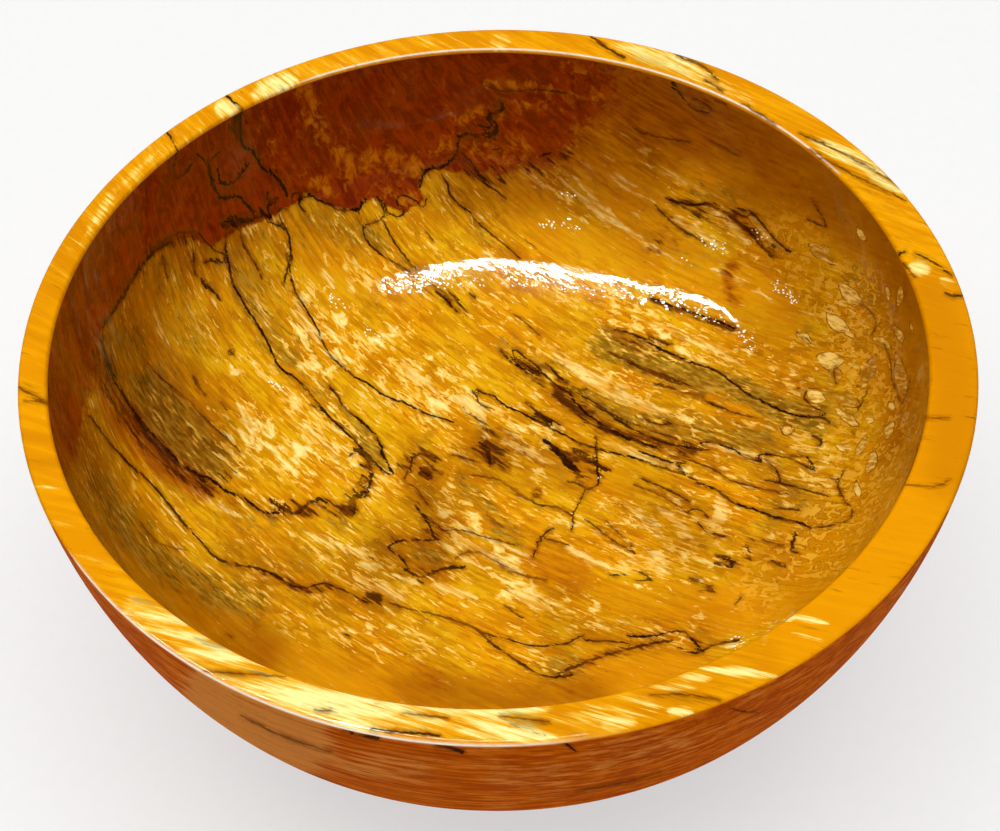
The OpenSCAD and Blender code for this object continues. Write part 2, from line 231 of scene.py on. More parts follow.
class Board:
    def __init__(self, x, y, tile=14):
        self.x, self.y, self.tile = x, y, tile
        key = np.floor(x / tile).astype(np.int64) + 4096 * np.floor(y / tile).astype(np.int64)
        order = np.argsort(key, kind="stable")
        keys, start = np.unique(key[order], return_index=True)
        self.tiles = dict(zip(keys.tolist(), np.split(order, start[1:])))

    def near(self, a, b, reach):
        t = self.tile
        x0, x1 = int((min(a[0], b[0]) - reach) // t), int((max(a[0], b[0]) + reach) // t)
        y0, y1 = int((min(a[1], b[1]) - reach) // t), int((max(a[1], b[1]) + reach) // t)
        keys = (c + 4096 * r for r in range(y0, y1 + 1) for c in range(x0, x1 + 1))
        found = [self.tiles[k] for k in keys if k in self.tiles]
        return np.concatenate(found) if found else np.zeros(0, np.int64)

    def span(self, k, a, b):
        """The offset of points k from the nearest place on the stretch a to b, and how far along that is."""
        px, py = self.x[k] - a[0], self.y[k] - a[1]
        dx, dy = b[0] - a[0], b[1] - a[1]
        t = np.clip((px * dx + py * dy) / max(dx * dx + dy * dy, 1e-9), 0, 1)
        return px - t * dx, py - t * dy, t


def pairs(numbers):
    """x, y, x, y... as an array of points."""
    return np.array(numbers, float).reshape(-1, 2)


def wander(points, half, rng):
    """A given line turned into short uneven stretches, as a zone line in wood runs."""
    ends = np.concatenate([points[:1], points, points[-1:]])
    path = []
    for p0, p1, p2, p3 in zip(ends, ends[1:], ends[2:], ends[3:]):
        n = max(1, round(math.dist(p1, p2) / STRETCH))
        for t in np.arange(n) / n:
            path.append(0.5 * (2 * p1 + (p2 - p0) * t + (2 * p0 - 5 * p1 + 4 * p2 - p3) * t**2
                               + (3 * p1 - p0 - 3 * p2 + p3) * t**3))
    path = np.array(path + [points[-1]])
    shake = rng.normal(0, SHAKE, path.shape)
    path = path + shake * min(1.0, 0.5 + half / 3)
    thick = 0.7 + 0.6 * rng.random(len(path))
    far = np.minimum(np.arange(len(path)), np.arange(len(path))[::-1])
    return path, half * thick * np.minimum(1, 0.55 + far / 3.5)


def draw_lines(board, lines, seed, reach=7.0):
    """Offset to the nearest line and its half width, the gap to its border, and its darkness, in pixels."""
    rng = np.random.default_rng(seed)
    n = len(board.x)
    field = np.tile([FAR, 0.0, 0.0], (n, 1))
    gap, tone = np.full(n, FAR), np.zeros(n)
    for half, dark, numbers in lines:
        path, width = wander(pairs(numbers), 0.75 * half, rng)
        for a, b, w in zip(path, path[1:], width):
            k = board.near(a, b, reach + w)
            vx, vy, _ = board.span(k, a, b)
            g = np.hypot(vx, vy) - w
            better = g < gap[k]
            k = k[better]
            field[k, 0], field[k, 1], field[k, 2] = vx[better], vy[better], w
            gap[k], tone[k] = g[better], dark
    return field, gap, tone


def brush(board, strokes, taper=False):
    """Soft strokes: (strength, half width, softness, points...), running to a point at both ends if tapered."""
    total = np.zeros(len(board.x))
    for strength, half, soft, numbers in strokes:
        path = pairs(numbers)
        if len(path) == 1:
            path = np.concatenate([path, path + 0.01])
        best = np.full(len(board.x), 1e9)
        touched = []
        run = np.concatenate([[0], np.cumsum(np.hypot(*np.diff(path, axis=0).T))])
        for a, b, begun, ended in zip(path, path[1:], run, run[1:]):
            k = board.near(a, b, half + 1.4 * soft)
            vx, vy, t = board.span(k, a, b)
            off = np.hypot(vx, vy)
            if taper:
                share = (begun + t * (ended - begun)) / run[-1]
                off += (half + soft) * (1 - np.sqrt(np.clip(4 * share * (1 - share), 0, 1)))
            best[k] = np.minimum(best[k], off)
            touched.append(k)
        k = np.unique(np.concatenate(touched))
        t = np.clip((half + 1.4 * soft - best[k]) / (1.8 * soft), 0, 1)
        fall = strength * t * t * (3 - 2 * t)
        total[k] = 1 - (1 - total[k]) * (1 - fall)
    return total


def signed_area(x, y, numbers):
    """Distance to a closed outline, negative inside it."""
    path = pairs(numbers)
    best = np.full(len(x), 1e9)
    odd = np.zeros(len(x), bool)
    for (ax, ay), (bx, by) in zip(path, np.roll(path, -1, axis=0)):
        px, py, dx, dy = x - ax, y - ay, bx - ax, by - ay
        t = np.clip((px * dx + py * dy) / max(dx * dx + dy * dy, 1e-9), 0, 1)
        best = np.minimum(best, np.hypot(px - t * dx, py - t * dy))
        cross = (ay > y) != (by > y)
        with np.errstate(divide="ignore", invalid="ignore"):
            odd ^= cross & (x < ax + (y - ay) * dx / (dy if dy else 1e-9))
    return np.where(odd, -best, best)


def area(board, numbers, soft):
    """How far inside a closed outline each point is, from 0 to 1; soft may be one number or one for each point."""
    t = np.clip(0.5 - signed_area(board.x, board.y, numbers) / (2 * soft), 0, 1)
    return t * t * (3 - 2 * t)


def ovals(board, shapes):
    """Rough signed distance to small pointed ovals, and the nearest one's paleness.

    Each oval is (x, y, length, width, tilt, paleness).
    """
    best, tone = np.full(len(board.x), CHIP_FAR), np.zeros(len(board.x))
    for cx, cy, long, wide, tilt, light in shapes:
        k = board.near((cx, cy), (cx, cy), long + CHIP_FAR)
        c, s = math.cos(math.radians(tilt)), math.sin(math.radians(tilt))
        u = ((board.x[k] - cx) * c + (board.y[k] - cy) * s) / (long / 2)
        v = (-(board.x[k] - cx) * s + (board.y[k] - cy) * c) / (wide / 2)
        skew = abs(v + 0.35 * u * u * np.sign(light - 0.55))
        d = (0.7 * skew + 0.3 * v * v + abs(u) ** 1.7 - 1) * wide / 2
        near = d < best[k]
        best[k[near]], tone[k[near]] = d[near], light
    return best, tone


def grain_heading(board, marks, spread=45.0):
    """Which way the grain runs in the photograph's frame, as a unit vector for each point."""
    total = np.zeros((len(board.x), 3))
    for mx, my, tilt in marks:
        w = np.exp(-((board.x - mx) ** 2 + (board.y - my) ** 2) / (2 * spread**2)) + 1e-6
        total[:, 0] += w * math.cos(math.radians(tilt))
        total[:, 1] += w * math.sin(math.radians(tilt))
    return total / np.hypot(total[:, 0], total[:, 1])[:, None]


def grain_flow(flat, px, py, shown, marks, degree, spread):
    """Smooth coordinates along and across the grain, from directions read at marks.

    Each mark is (x, y, degrees down to the right).
    """
    ids = np.flatnonzero(shown)
    x, y = px[ids], py[ids]

    def nearest(mx, my):
        return ids[np.argmin((x - mx) ** 2 + (y - my) ** 2)]

    at, heading = [], []
    for mx, my, tilt in marks:
        c, s = 16 * math.cos(math.radians(tilt)), 16 * math.sin(math.radians(tilt))
        d = flat[nearest(mx + c, my + s)] - flat[nearest(mx - c, my - s)]
        at.append(flat[nearest(mx, my)])
        heading.append(d / max(np.hypot(*d), 1e-6))
    at, heading = np.array(at), np.array(heading)
    sample = flat[:: max(1, len(flat) // 1600)]
    weight = np.exp(-((sample[:, None] - at[None]) ** 2).sum(2) / (2 * spread**2)) + 1e-5
    mean = weight @ heading
    mean /= np.hypot(mean[:, 0], mean[:, 1])[:, None]
    powers = [(i, j) for i in range(degree + 1) for j in range(degree + 1 - i) if i + j]

    def terms(p):
        u, v = p[:, 0] / 100, p[:, 1] / 100
        return np.stack([u**i * v**j for i, j in powers], 1) * 100

    def slopes(p):
        u, v = p[:, 0] / 100, p[:, 1] / 100
        du = np.stack([i * u ** max(i - 1, 0) * v**j for i, j in powers], 1)
        dv = np.stack([j * u**i * v ** max(j - 1, 0) for i, j in powers], 1)
        return np.concatenate([du, dv])

    side = np.stack([-mean[:, 1], mean[:, 0]], 1)
    rows = slopes(sample)
    along = np.linalg.lstsq(rows, mean.T.reshape(-1), rcond=None)[0]
    across = np.linalg.lstsq(rows, side.T.reshape(-1), rcond=None)[0]
    t = terms(flat)
    return t @ along, t @ across


# Grain directions inside the bowl: x, y, degrees down to the right
INSIDE_GRAIN = [
    (110, 360, 66), (140, 440, 52), (200, 500, 42), (120, 500, 50), (165, 565, 44), (250, 615, 30), (310, 650, 24),
    (400, 665, 18), (500, 650, 24), (570, 690, 8), (650, 650, 4), (700, 605, 14), (790, 560, 14), (250, 260, 66),
    (300, 330, 60), (250, 350, 55), (200, 400, 55), (250, 440, 42), (300, 480, 40), (400, 340, 52), (380, 430, 48),
    (430, 520, 38), (480, 560, 26), (300, 560, 38), (420, 600, 26), (460, 180, 52), (470, 250, 48), (550, 250, 42),
    (560, 420, 28), (520, 350, 40), (620, 450, 23), (700, 440, 20), (620, 520, 36), (560, 560, 30), (540, 605, 24),
    (700, 560, 22), (760, 480, 16), (640, 210, 34), (680, 305, 18), (720, 330, 22), (790, 240, 42), (780, 310, 32),
    (850, 470, 34), (880, 330, 50), (340, 120, 62), (500, 80, 40), (640, 110, 30), (200, 200, 66), (760, 170, 36),
    (870, 230, 50), (450, 450, 42), (520, 500, 32),
]
# The same on the flat rim
RIM_GRAIN = [
    (34, 395, 5), (32, 335, 14), (46, 290, 30), (70, 250, 46), (130, 170, 56), (230, 100, 50), (330, 60, 42),
    (450, 38, 36), (600, 45, 33), (700, 72, 32), (760, 115, 32), (860, 165, 29), (935, 265, 30), (950, 400, 12),
    (935, 500, 8), (880, 585, 8), (810, 625, 8), (740, 672, 6), (690, 690, 9), (560, 722, 8), (420, 715, 4),
    (300, 695, 5), (220, 655, 6), (160, 615, 10), (95, 558, 8), (58, 490, 4), (42, 440, 4),
]

# Zone lines inside the bowl: half width, darkness, then x, y, x, y ... in the photograph's frame
INSIDE_LINES = [
    (3.2, 0.8, [238, 104, 237, 116, 235, 128, 238, 138]),
    (2.0, 1.0, [241, 109, 240, 125, 241, 142, 245, 148, 252, 151, 258, 160, 262, 168, 272, 174, 280, 182, 285, 190,
        287, 196]),
    (2.0, 1.0, [197, 154, 204, 160, 208, 166, 211, 178, 214, 187, 220, 198, 228, 198, 238, 196, 245, 203, 254, 212]),
    (0.9, 0.8, [208, 163, 214, 157, 219, 152]), (1.9, 1.0, [218, 168, 220, 182, 233, 183, 240, 175, 248, 163]),
    (1.6, 0.8, [177, 150, 174, 166, 177, 178, 186, 172, 192, 163]),
    (3.0, 1.0, [225, 220, 232, 216, 240, 220, 248, 220, 256, 216, 262, 212, 270, 217]),
    (4.6, 1.0, [229, 221, 236, 224]), (3.6, 1.0, [257, 216, 265, 213]),
    (2.4, 1.0, [267, 196, 268, 200, 271, 203, 278, 199]), (1.3, 1.0, [268, 213, 269, 203, 273, 198, 278, 198]),
    (1.4, 1.0, [266, 200, 268, 193]), (0.8, 0.9, [287, 209, 281, 208, 279, 215, 282, 222, 286, 228, 288, 232]),
    (0.9, 0.9, [291, 200, 293, 194, 299, 193, 303, 195, 299, 205, 305, 211]),
    (1.3, 0.9, [268, 222, 280, 226, 287, 232, 290, 240, 292, 260]), (1.0, 0.7, [226, 230, 225, 245, 226, 260]),
    (1.2, 0.8, [240, 230, 244, 245, 250, 256, 256, 265, 262, 280]),
    (1.7, 0.6, [150, 250, 165, 240, 178, 233, 190, 232]),
    (1.0, 0.8, [190, 232, 198, 233, 205, 241, 215, 250, 225, 255]), (1.8, 0.8, [193, 250, 194, 262, 195, 275]),
    (2.2, 0.9, [205, 262, 212, 260, 222, 262]), (2.0, 0.9, [201, 278, 206, 288]),
    (1.7, 0.9, [208, 285, 214, 292, 220, 300]), (1.7, 0.8, [163, 255, 165, 268, 168, 278]),
    (1.4, 0.9, [286, 255, 288, 265, 287, 270, 284, 282]), (2.4, 1.0, [298, 204, 303, 197, 310, 194]),
    (1.8, 1.0, [308, 194, 318, 200, 328, 204, 335, 208]),
    (1.7, 1.0, [335, 208, 345, 211, 352, 209, 358, 211, 362, 203, 366, 200]),
    (0.9, 0.9, [358, 211, 362, 222, 366, 225, 376, 222, 384, 216, 382, 206, 377, 197, 385, 205, 387, 212, 392, 215,
        400, 216, 405, 213, 404, 207, 398, 205, 397, 198, 402, 195, 410, 198, 417, 202, 423, 208, 427, 197]),
    (2.1, 1.0, [420, 187, 422, 178, 424, 173, 430, 169, 438, 168, 445, 165, 452, 160, 456, 152, 458, 145, 459, 138,
        462, 135, 470, 134, 478, 136, 485, 133]),
    (3.4, 1.0, [500, 100, 503, 108, 496, 112, 488, 116, 492, 122]),
    (2.8, 0.9, [492, 120, 497, 128, 494, 134, 486, 136]), (2.6, 1.0, [543, 155, 549, 153]),
    (1.8, 0.9, [470, 122, 480, 126, 490, 128]), (1.5, 0.8, [492, 149, 500, 149]), (1.8, 0.8, [540, 157, 550, 152]),
    (1.2, 0.9, [442, 175, 448, 185, 449, 192, 455, 200, 462, 207, 470, 213, 480, 224, 495, 237, 505, 245, 520, 258]),
    (1.1, 0.9, [460, 152, 467, 158, 474, 166, 480, 175, 490, 185, 500, 194, 506, 199]),
    (1.1, 0.9, [463, 160, 470, 170, 480, 180, 490, 187]), (1.1, 0.7, [485, 85, 492, 88, 505, 91, 540, 90, 567, 93]),
    (0.9, 0.7, [425, 230, 433, 240]), (0.9, 0.7, [525, 240, 535, 247]),
    (1.1, 0.9, [363, 222, 364, 235, 370, 245, 378, 252, 390, 260, 410, 272]),
    (1.1, 0.9, [384, 222, 390, 235, 400, 250, 408, 260, 417, 270]),
    (1.4, 1.0, [225, 240, 227, 255, 230, 270, 233, 283, 240, 297, 250, 313, 258, 325, 265, 338, 272, 352, 278, 365,
        285, 372, 295, 378, 305, 388, 315, 400, 325, 412, 340, 427, 357, 443, 365, 453, 373, 460, 380, 468, 385, 473,
        390, 475]),
    (1.0, 1.0, [290, 240, 291, 255, 290, 265, 292, 280, 297, 295, 308, 312, 317, 328, 322, 340, 328, 352, 340, 365,
        355, 377, 370, 385, 380, 393, 395, 400, 405, 403, 425, 413, 440, 418, 453, 422]),
    (1.7, 1.0, [330, 385, 338, 397, 343, 405, 352, 414, 362, 422, 370, 430, 377, 438, 380, 445, 383, 455, 388, 465,
        392, 472]),
    (1.6, 1.0, [102, 335, 104, 350, 110, 365, 115, 380, 122, 393, 130, 405, 140, 418, 150, 432, 160, 443, 170, 452,
        180, 462, 190, 470, 200, 476, 207, 477, 217, 484, 228, 492, 240, 497, 250, 503, 260, 510, 270, 513, 280, 513]),
    (2.2, 0.9, [270, 500, 278, 508, 285, 505, 290, 510, 297, 513, 305, 507, 312, 502, 325, 500, 335, 505, 345, 510,
        352, 515, 355, 505, 352, 498, 360, 495, 367, 490, 370, 483, 371, 470, 368, 460, 360, 452, 355, 450]),
    (0.9, 0.6, [104, 360, 108, 378, 115, 393, 125, 408, 137, 422, 150, 437]),
    (0.9, 0.6, [97, 350, 95, 370, 100, 385, 110, 400, 120, 415, 135, 428]),
    (1.5, 0.9, [88, 415, 97, 425, 107, 440, 118, 452, 130, 465, 145, 478, 155, 488, 165, 500, 175, 512, 185, 525,
        195, 535, 205, 547, 213, 555, 225, 562, 237, 565, 250, 567, 262, 570, 275, 575, 287, 583, 297, 587, 307, 588]),
    (1.0, 0.8, [307, 588, 325, 583, 335, 587, 350, 593, 360, 600, 368, 603]),
    (0.8, 0.4, [140, 525, 150, 535, 160, 543, 172, 548, 187, 550]),
    (0.8, 0.7, [195, 375, 199, 385, 203, 393, 207, 395]), (0.7, 0.6, [147, 363, 160, 377]),
    (0.7, 0.6, [168, 387, 183, 398]), (0.9, 0.7, [200, 415, 222, 432, 240, 452]), (0.8, 0.8, [220, 403, 227, 410]),
    (1.0, 1.0, [218, 473, 223, 477, 228, 482]), (0.9, 1.0, [225, 472, 232, 478]), (0.8, 1.0, [230, 468, 237, 473]),
    (0.7, 0.9, [312, 405, 325, 413]), (0.9, 0.9, [225, 634, 232, 637]), (0.9, 0.9, [345, 634, 350, 636]),
    (0.9, 0.8, [505, 606, 512, 611]), (0.9, 0.8, [515, 613, 522, 618]), (1.4, 0.9, [436, 292, 446, 300, 456, 311]),
    (1.2, 0.9, [455, 300, 468, 313]), (1.4, 0.8, [470, 294, 475, 298]), (1.8, 0.9, [448, 290, 458, 300]),
    (1.0, 0.7, [515, 315, 528, 325, 540, 335]), (1.9, 1.0, [500, 350, 507, 358, 515, 363, 525, 370, 535, 378]),
    (1.0, 0.9, [514, 350, 513, 356, 522, 362, 530, 368, 540, 374]),
    (0.9, 0.8, [548, 364, 560, 378, 570, 390, 572, 396]),
    (0.9, 0.8, [576, 392, 600, 406, 624, 420, 650, 430, 680, 440, 704, 448]),
    (1.4, 0.9, [526, 403, 540, 414, 556, 422]), (1.6, 0.9, [536, 414, 550, 424]),
    (1.0, 0.7, [610, 352, 640, 366, 672, 378, 690, 386]), (1.0, 0.7, [655, 384, 690, 394, 712, 404]),
    (1.2, 0.8, [644, 418, 656, 424, 668, 424]), (1.0, 0.8, [660, 418, 672, 424]),
    (1.2, 0.8, [648, 335, 662, 342, 672, 344]),
    (1.2, 0.9, [513, 350, 520, 353, 528, 360, 536, 365, 542, 372, 550, 380, 560, 388, 568, 392]),
    (1.2, 0.9, [545, 363, 555, 372, 562, 380, 570, 385, 580, 390, 587, 389]),
    (1.7, 1.0, [568, 392, 575, 402, 585, 412, 595, 420, 605, 427, 615, 432, 620, 435]),
    (1.2, 0.9, [570, 388, 580, 395, 595, 403, 605, 412, 620, 420]),
    (1.3, 1.0, [475, 390, 485, 393, 495, 397, 505, 405, 520, 412, 535, 420, 550, 428, 565, 435, 580, 443, 595, 448,
        610, 452, 635, 458, 655, 465, 675, 472, 688, 475]),
    (1.0, 0.9, [472, 390, 477, 398, 480, 405, 490, 408]),
    (0.9, 0.7, [463, 407, 468, 413, 478, 420, 485, 425, 487, 432]),
    (1.7, 1.0, [525, 402, 535, 410, 545, 418, 560, 425]), (1.4, 0.9, [535, 415, 550, 425]),
    (2.8, 1.0, [480, 443, 487, 450, 489, 460, 490, 464]),
    (4.2, 1.0, [545, 440, 555, 450, 562, 458, 572, 466, 580, 476]),
    (1.2, 0.9, [573, 448, 585, 453, 600, 465, 610, 470]), (1.1, 0.8, [568, 482, 578, 484, 588, 490]),
    (1.2, 1.0, [596, 437, 596, 450, 597, 465, 598, 475, 599, 483, 592, 488, 586, 488]),
    (0.9, 0.9, [586, 488, 583, 495, 577, 507, 573, 515, 572, 530]),
    (1.1, 0.8, [553, 528, 545, 533, 540, 540, 536, 550, 533, 557]), (0.8, 0.7, [542, 538, 556, 541, 568, 545]),
    (1.2, 0.6, [470, 475, 485, 477, 497, 479, 510, 487, 520, 495, 530, 500]),
    (1.3, 0.8, [530, 500, 540, 505, 560, 508, 573, 517]),
    (1.1, 0.8, [585, 520, 595, 526, 605, 535, 615, 542, 635, 553]), (0.8, 0.7, [605, 520, 618, 532, 632, 545]),
    (1.9, 0.8, [405, 478, 410, 468, 412, 460, 420, 455, 430, 455]), (5.0, 1.0, [424, 472, 428, 475]),
    (1.3, 0.8, [410, 485, 418, 490, 424, 500, 428, 505]), (0.9, 0.6, [450, 455, 465, 458, 480, 463]),
    (1.2, 0.6, [487, 515, 502, 527]), (1.8, 0.9, [415, 505, 420, 512, 425, 518, 430, 527, 433, 535, 438, 540]),
    (1.3, 0.9, [438, 540, 420, 540, 405, 540, 395, 543, 388, 547, 392, 552, 400, 557, 408, 568]),
    (1.8, 0.9, [405, 570, 413, 574, 422, 577, 430, 574, 440, 570, 450, 568, 465, 567]),
    (1.4, 0.9, [417, 580, 423, 583]),
    (0.7, 0.8, [425, 515, 435, 522, 443, 530, 455, 530, 470, 532, 485, 537, 515, 545]),
    (1.5, 0.5, [455, 560, 463, 553, 475, 552, 485, 555, 497, 562, 510, 570, 530, 577, 547, 580]),
    (1.1, 0.9, [610, 575, 625, 575]), (1.0, 0.8, [635, 580, 652, 580, 640, 572]),
    (1.4, 1.0, [650, 298, 670, 305, 690, 312, 710, 318, 735, 328]),
    (1.8, 0.9, [103, 327, 108, 318, 113, 311, 119, 303, 124, 295, 129, 285, 135, 276, 141, 267, 148, 259, 155, 251,
        163, 246, 172, 242]),
    (1.4, 0.9, [100, 337, 106, 356, 114, 378, 128, 403, 144, 427, 165, 450, 187, 468, 205, 482]),
    (1.0, 0.8, [96, 360, 104, 385, 118, 410, 134, 434, 150, 452, 168, 468]),
    (0.9, 0.7, [118, 398, 136, 424, 160, 450, 182, 470]),
    (1.1, 0.8, [147, 363, 160, 377, 180, 393, 195, 408, 212, 425, 226, 438]),
    (1.4, 0.8, [193, 376, 197, 386, 205, 394]), (1.4, 0.9, [276, 512, 274, 504, 270, 498]),
    (1.4, 0.9, [285, 512, 281, 505, 277, 499]), (1.3, 0.9, [300, 506, 292, 500]),
    (1.5, 0.9, [354, 515, 350, 500, 360, 497, 366, 496]), (1.2, 0.9, [352, 500, 346, 494]),
    (1.2, 0.9, [360, 496, 353, 489]), (1.2, 0.9, [367, 490, 358, 483]), (1.2, 0.9, [371, 481, 362, 475]),
    (1.2, 0.9, [371, 470, 361, 465]), (1.3, 0.9, [364, 456, 354, 452, 350, 457]),
    (2.2, 1.0, [598, 427, 615, 434, 632, 440]), (1.8, 0.9, [630, 438, 642, 443, 656, 447]),
    (2.4, 0.9, [574, 452, 588, 460, 606, 470]),
    (1.4, 1.0, [615, 330, 630, 333, 645, 340, 658, 348, 675, 355, 690, 362, 705, 367, 717, 371, 725, 377, 735, 385,
        748, 394, 760, 400, 780, 410, 800, 416, 822, 418, 830, 423]),
    (0.9, 0.8, [648, 337, 668, 345]), (1.2, 0.8, [615, 355, 630, 363, 660, 377, 680, 385]),
    (1.6, 0.9, [702, 399, 712, 404, 722, 408]),
    (1.1, 0.8, [657, 383, 685, 393, 700, 395, 707, 402, 722, 408, 735, 413, 757, 418]),
    (1.5, 0.9, [595, 405, 610, 415, 625, 425, 655, 440, 690, 448, 705, 450]),
    (1.1, 1.0, [700, 443, 710, 442, 725, 446, 735, 450, 745, 457, 762, 462, 758, 456, 765, 454, 780, 456, 790, 458,
        800, 463, 815, 470, 807, 457]),
    (1.2, 1.0, [700, 443, 704, 447, 708, 450]), (1.2, 1.0, [640, 452, 655, 457, 670, 462, 685, 463]),
    (1.1, 1.0, [675, 463, 682, 470, 688, 476]), (1.0, 0.9, [765, 460, 773, 466, 779, 475, 780, 483]),
    (1.5, 1.0, [688, 476, 700, 483, 710, 487, 720, 492, 730, 500, 740, 505, 755, 510, 775, 517, 800, 523, 810, 528]),
    (0.9, 0.8, [810, 528, 830, 526, 848, 520, 852, 515, 851, 507, 845, 502, 840, 490, 835, 480, 830, 478]),
    (1.0, 0.7, [670, 455, 690, 460, 715, 470, 730, 480, 760, 488, 790, 495]),
    (1.0, 0.8, [765, 480, 795, 487, 828, 496]), (0.9, 0.6, [635, 485, 665, 498, 690, 515]),
    (1.0, 0.8, [688, 512, 695, 509, 705, 513, 708, 517]), (1.3, 0.9, [698, 523, 705, 530, 715, 534, 725, 537]),
    (1.2, 0.9, [715, 555, 722, 556, 730, 558]), (1.8, 0.9, [718, 563, 725, 565, 732, 567]),
    (1.3, 0.8, [745, 545, 750, 553]), (1.8, 0.9, [796, 532, 795, 541, 792, 550]), (2.0, 0.9, [770, 560, 784, 566]),
    (1.6, 0.9, [718, 556, 735, 562]), (2.4, 0.9, [716, 564, 732, 566]), (1.2, 0.8, [774, 508, 800, 510]),
    (1.0, 0.8, [762, 540, 784, 545]), (1.2, 0.8, [692, 580, 712, 586]), (1.0, 0.8, [700, 590, 714, 592]),
    (1.6, 0.8, [812, 436, 822, 440, 818, 446]), (1.0, 0.8, [640, 478, 668, 490, 690, 502]),
    (1.1, 0.8, [690, 578, 700, 580]), (1.1, 0.8, [705, 585, 715, 592]), (1.0, 0.8, [735, 605, 742, 597]),
    (3.0, 1.0, [672, 80, 675, 88]), (1.4, 0.8, [675, 86, 683, 98]),
    (1.1, 0.8, [683, 98, 694, 109, 708, 113, 712, 110, 704, 103, 692, 99]), (1.0, 0.8, [715, 101, 726, 104]),
    (1.2, 0.6, [622, 123, 650, 135, 690, 142]), (1.0, 0.5, [710, 140, 740, 157]),
    (1.3, 0.7, [655, 205, 675, 225, 705, 243]),
    (1.9, 0.9, [670, 200, 690, 205, 715, 205, 738, 222, 750, 232, 772, 257]),
    (1.3, 0.9, [737, 208, 755, 216, 775, 240, 790, 252]), (1.6, 0.8, [741, 224, 752, 236, 762, 244]),
    (1.1, 0.7, [812, 200, 824, 220, 826, 227, 808, 220]), (0.9, 0.6, [862, 303, 876, 320, 872, 335]),
    (0.9, 0.6, [885, 345, 891, 365, 892, 380, 900, 402]), (0.9, 0.6, [903, 402, 910, 380]),
    (1.6, 0.9, [798, 388, 806, 390, 804, 396]), (1.2, 0.9, [803, 396, 808, 403, 816, 409, 825, 413]),
    (1.0, 0.8, [836, 384, 834, 370, 838, 364]), (0.9, 0.8, [796, 332, 806, 338, 812, 343]),
    (1.1, 0.7, [845, 470, 838, 484, 842, 497]), (1.2, 0.6, [868, 388, 863, 400, 858, 410]),
    (1.4, 0.7, [390, 603, 405, 608, 440, 616, 470, 625]),
    (1.5, 0.9, [470, 625, 480, 632, 488, 640, 498, 648, 520, 663, 540, 675, 556, 677, 573, 675]),
    (1.0, 0.9, [480, 632, 510, 640, 535, 646, 568, 643, 575, 638, 583, 636]),
    (1.1, 0.9, [585, 640, 605, 641, 630, 643]), (1.3, 1.0, [628, 636, 650, 636, 680, 631, 690, 637, 700, 648]),
    (1.4, 0.9, [678, 648, 695, 653, 715, 645, 740, 640]),
    (1.7, 0.8, [558, 674, 575, 667, 600, 657, 640, 646, 672, 640]),
]
# Chips by the right wall: x, y, length, width, tilt, paleness
CHIPS = [
    (850, 295, 32, 13, 42, 0.8), (837, 324, 30, 13, 38, 1.0), (849, 334, 16, 4, 34, 0.8), (830, 361, 28, 17, 8, 0.95),
    (835, 375, 15, 13, -60, 0.35), (804, 337, 17, 9, 34, 0.5), (861, 235, 16, 6, 58, 0.8), (888, 293, 14, 5, 75, 0.4),
    (900, 297, 20, 6, 100, 0.4), (911, 327, 8, 2, 75, 0.7), (899, 334, 20, 7, 60, 0.5), (882, 342, 22, 8, 30, 0.5),
    (901, 378, 50, 12, 82, 0.3), (891, 406, 10, 6, 60, 0.9), (815, 396, 22, 13, 30, 0.7), (846, 399, 32, 15, 16, 0.25),
    (847, 418, 30, 8, 38, 0.75), (870, 420, 9, 7, 20, 0.7), (889, 430, 18, 8, 110, 0.6), (823, 253, 34, 15, 36, 0.3),
    (756, 222, 22, 7, 44, 0.4), (845, 448, 18, 8, 10, 0.6), (862, 446, 22, 8, 120, 0.5), (787, 430, 15, 9, 10, 0.6),
    (872, 462, 24, 10, 110, 0.45), (712, 211, 34, 6, 24, 0.4), (868, 372, 36, 14, 120, 0.15),
    (857, 490, 18, 6, 80, 0.6),
]
# Small ring knots: x, y, radius
RINGS = [(231, 352, 3.4), (364, 480, 3.6), (537, 493, 4.0), (787, 430, 6.0)]
# Soft regions inside: strength, half width, softness, points
# The dark red of the far and left walls, as a closed outline: partly heartwood, partly painted shadow of the rim
DARK_RED_AND_SHADOW = [
    -20, 420, 20, 330, 50, 240, 120, 150, 200, 90, 300, 40, 420, 15, 560, 15, 660, 50, 720, 90, 705, 118, 664, 126,
    627, 119, 592, 130, 578, 150, 556, 163, 521, 169, 482, 176, 468, 174, 446, 170, 424, 172, 420, 186, 424, 200, 404,
    214, 386, 206, 380, 199, 364, 200, 358, 211, 345, 210, 330, 205, 312, 196, 304, 194, 296, 203, 282, 210, 268, 219,
    250, 224, 228, 236, 212, 248, 190, 238, 176, 240, 158, 252, 147, 260, 138, 276, 128, 290, 120, 305, 112, 318, 104,
    326, 99, 345, 94, 375, 86, 410, 80, 440, 70, 480, 40, 500,
]
OCHRE = [
    (0.8, 4, 12, [303, 75, 310, 115, 325, 135, 340, 150, 350, 160, 375, 160]), (0.7, 5, 10, [395, 152, 408, 165]),
    (0.5, 8, 14, [420, 165, 460, 150, 520, 150]), (0.35, 10, 14, [330, 180, 400, 185, 420, 180]),
    (0.4, 6, 12, [500, 110, 560, 100, 600, 92]), (0.3, 8, 14, [260, 130, 290, 170]), (0.7, 3, 6, [314, 184, 326, 190]),
    (0.6, 3, 6, [400, 205, 410, 200]), (0.8, 4, 6, [428, 178, 440, 178]), (0.5, 4, 8, [455, 122, 480, 112]),
    (0.4, 8, 10, [165, 262, 200, 268]), (0.8, 3, 4, [488, 84, 520, 86, 548, 89]), (0.5, 6, 8, [568, 62, 580, 72]),
]
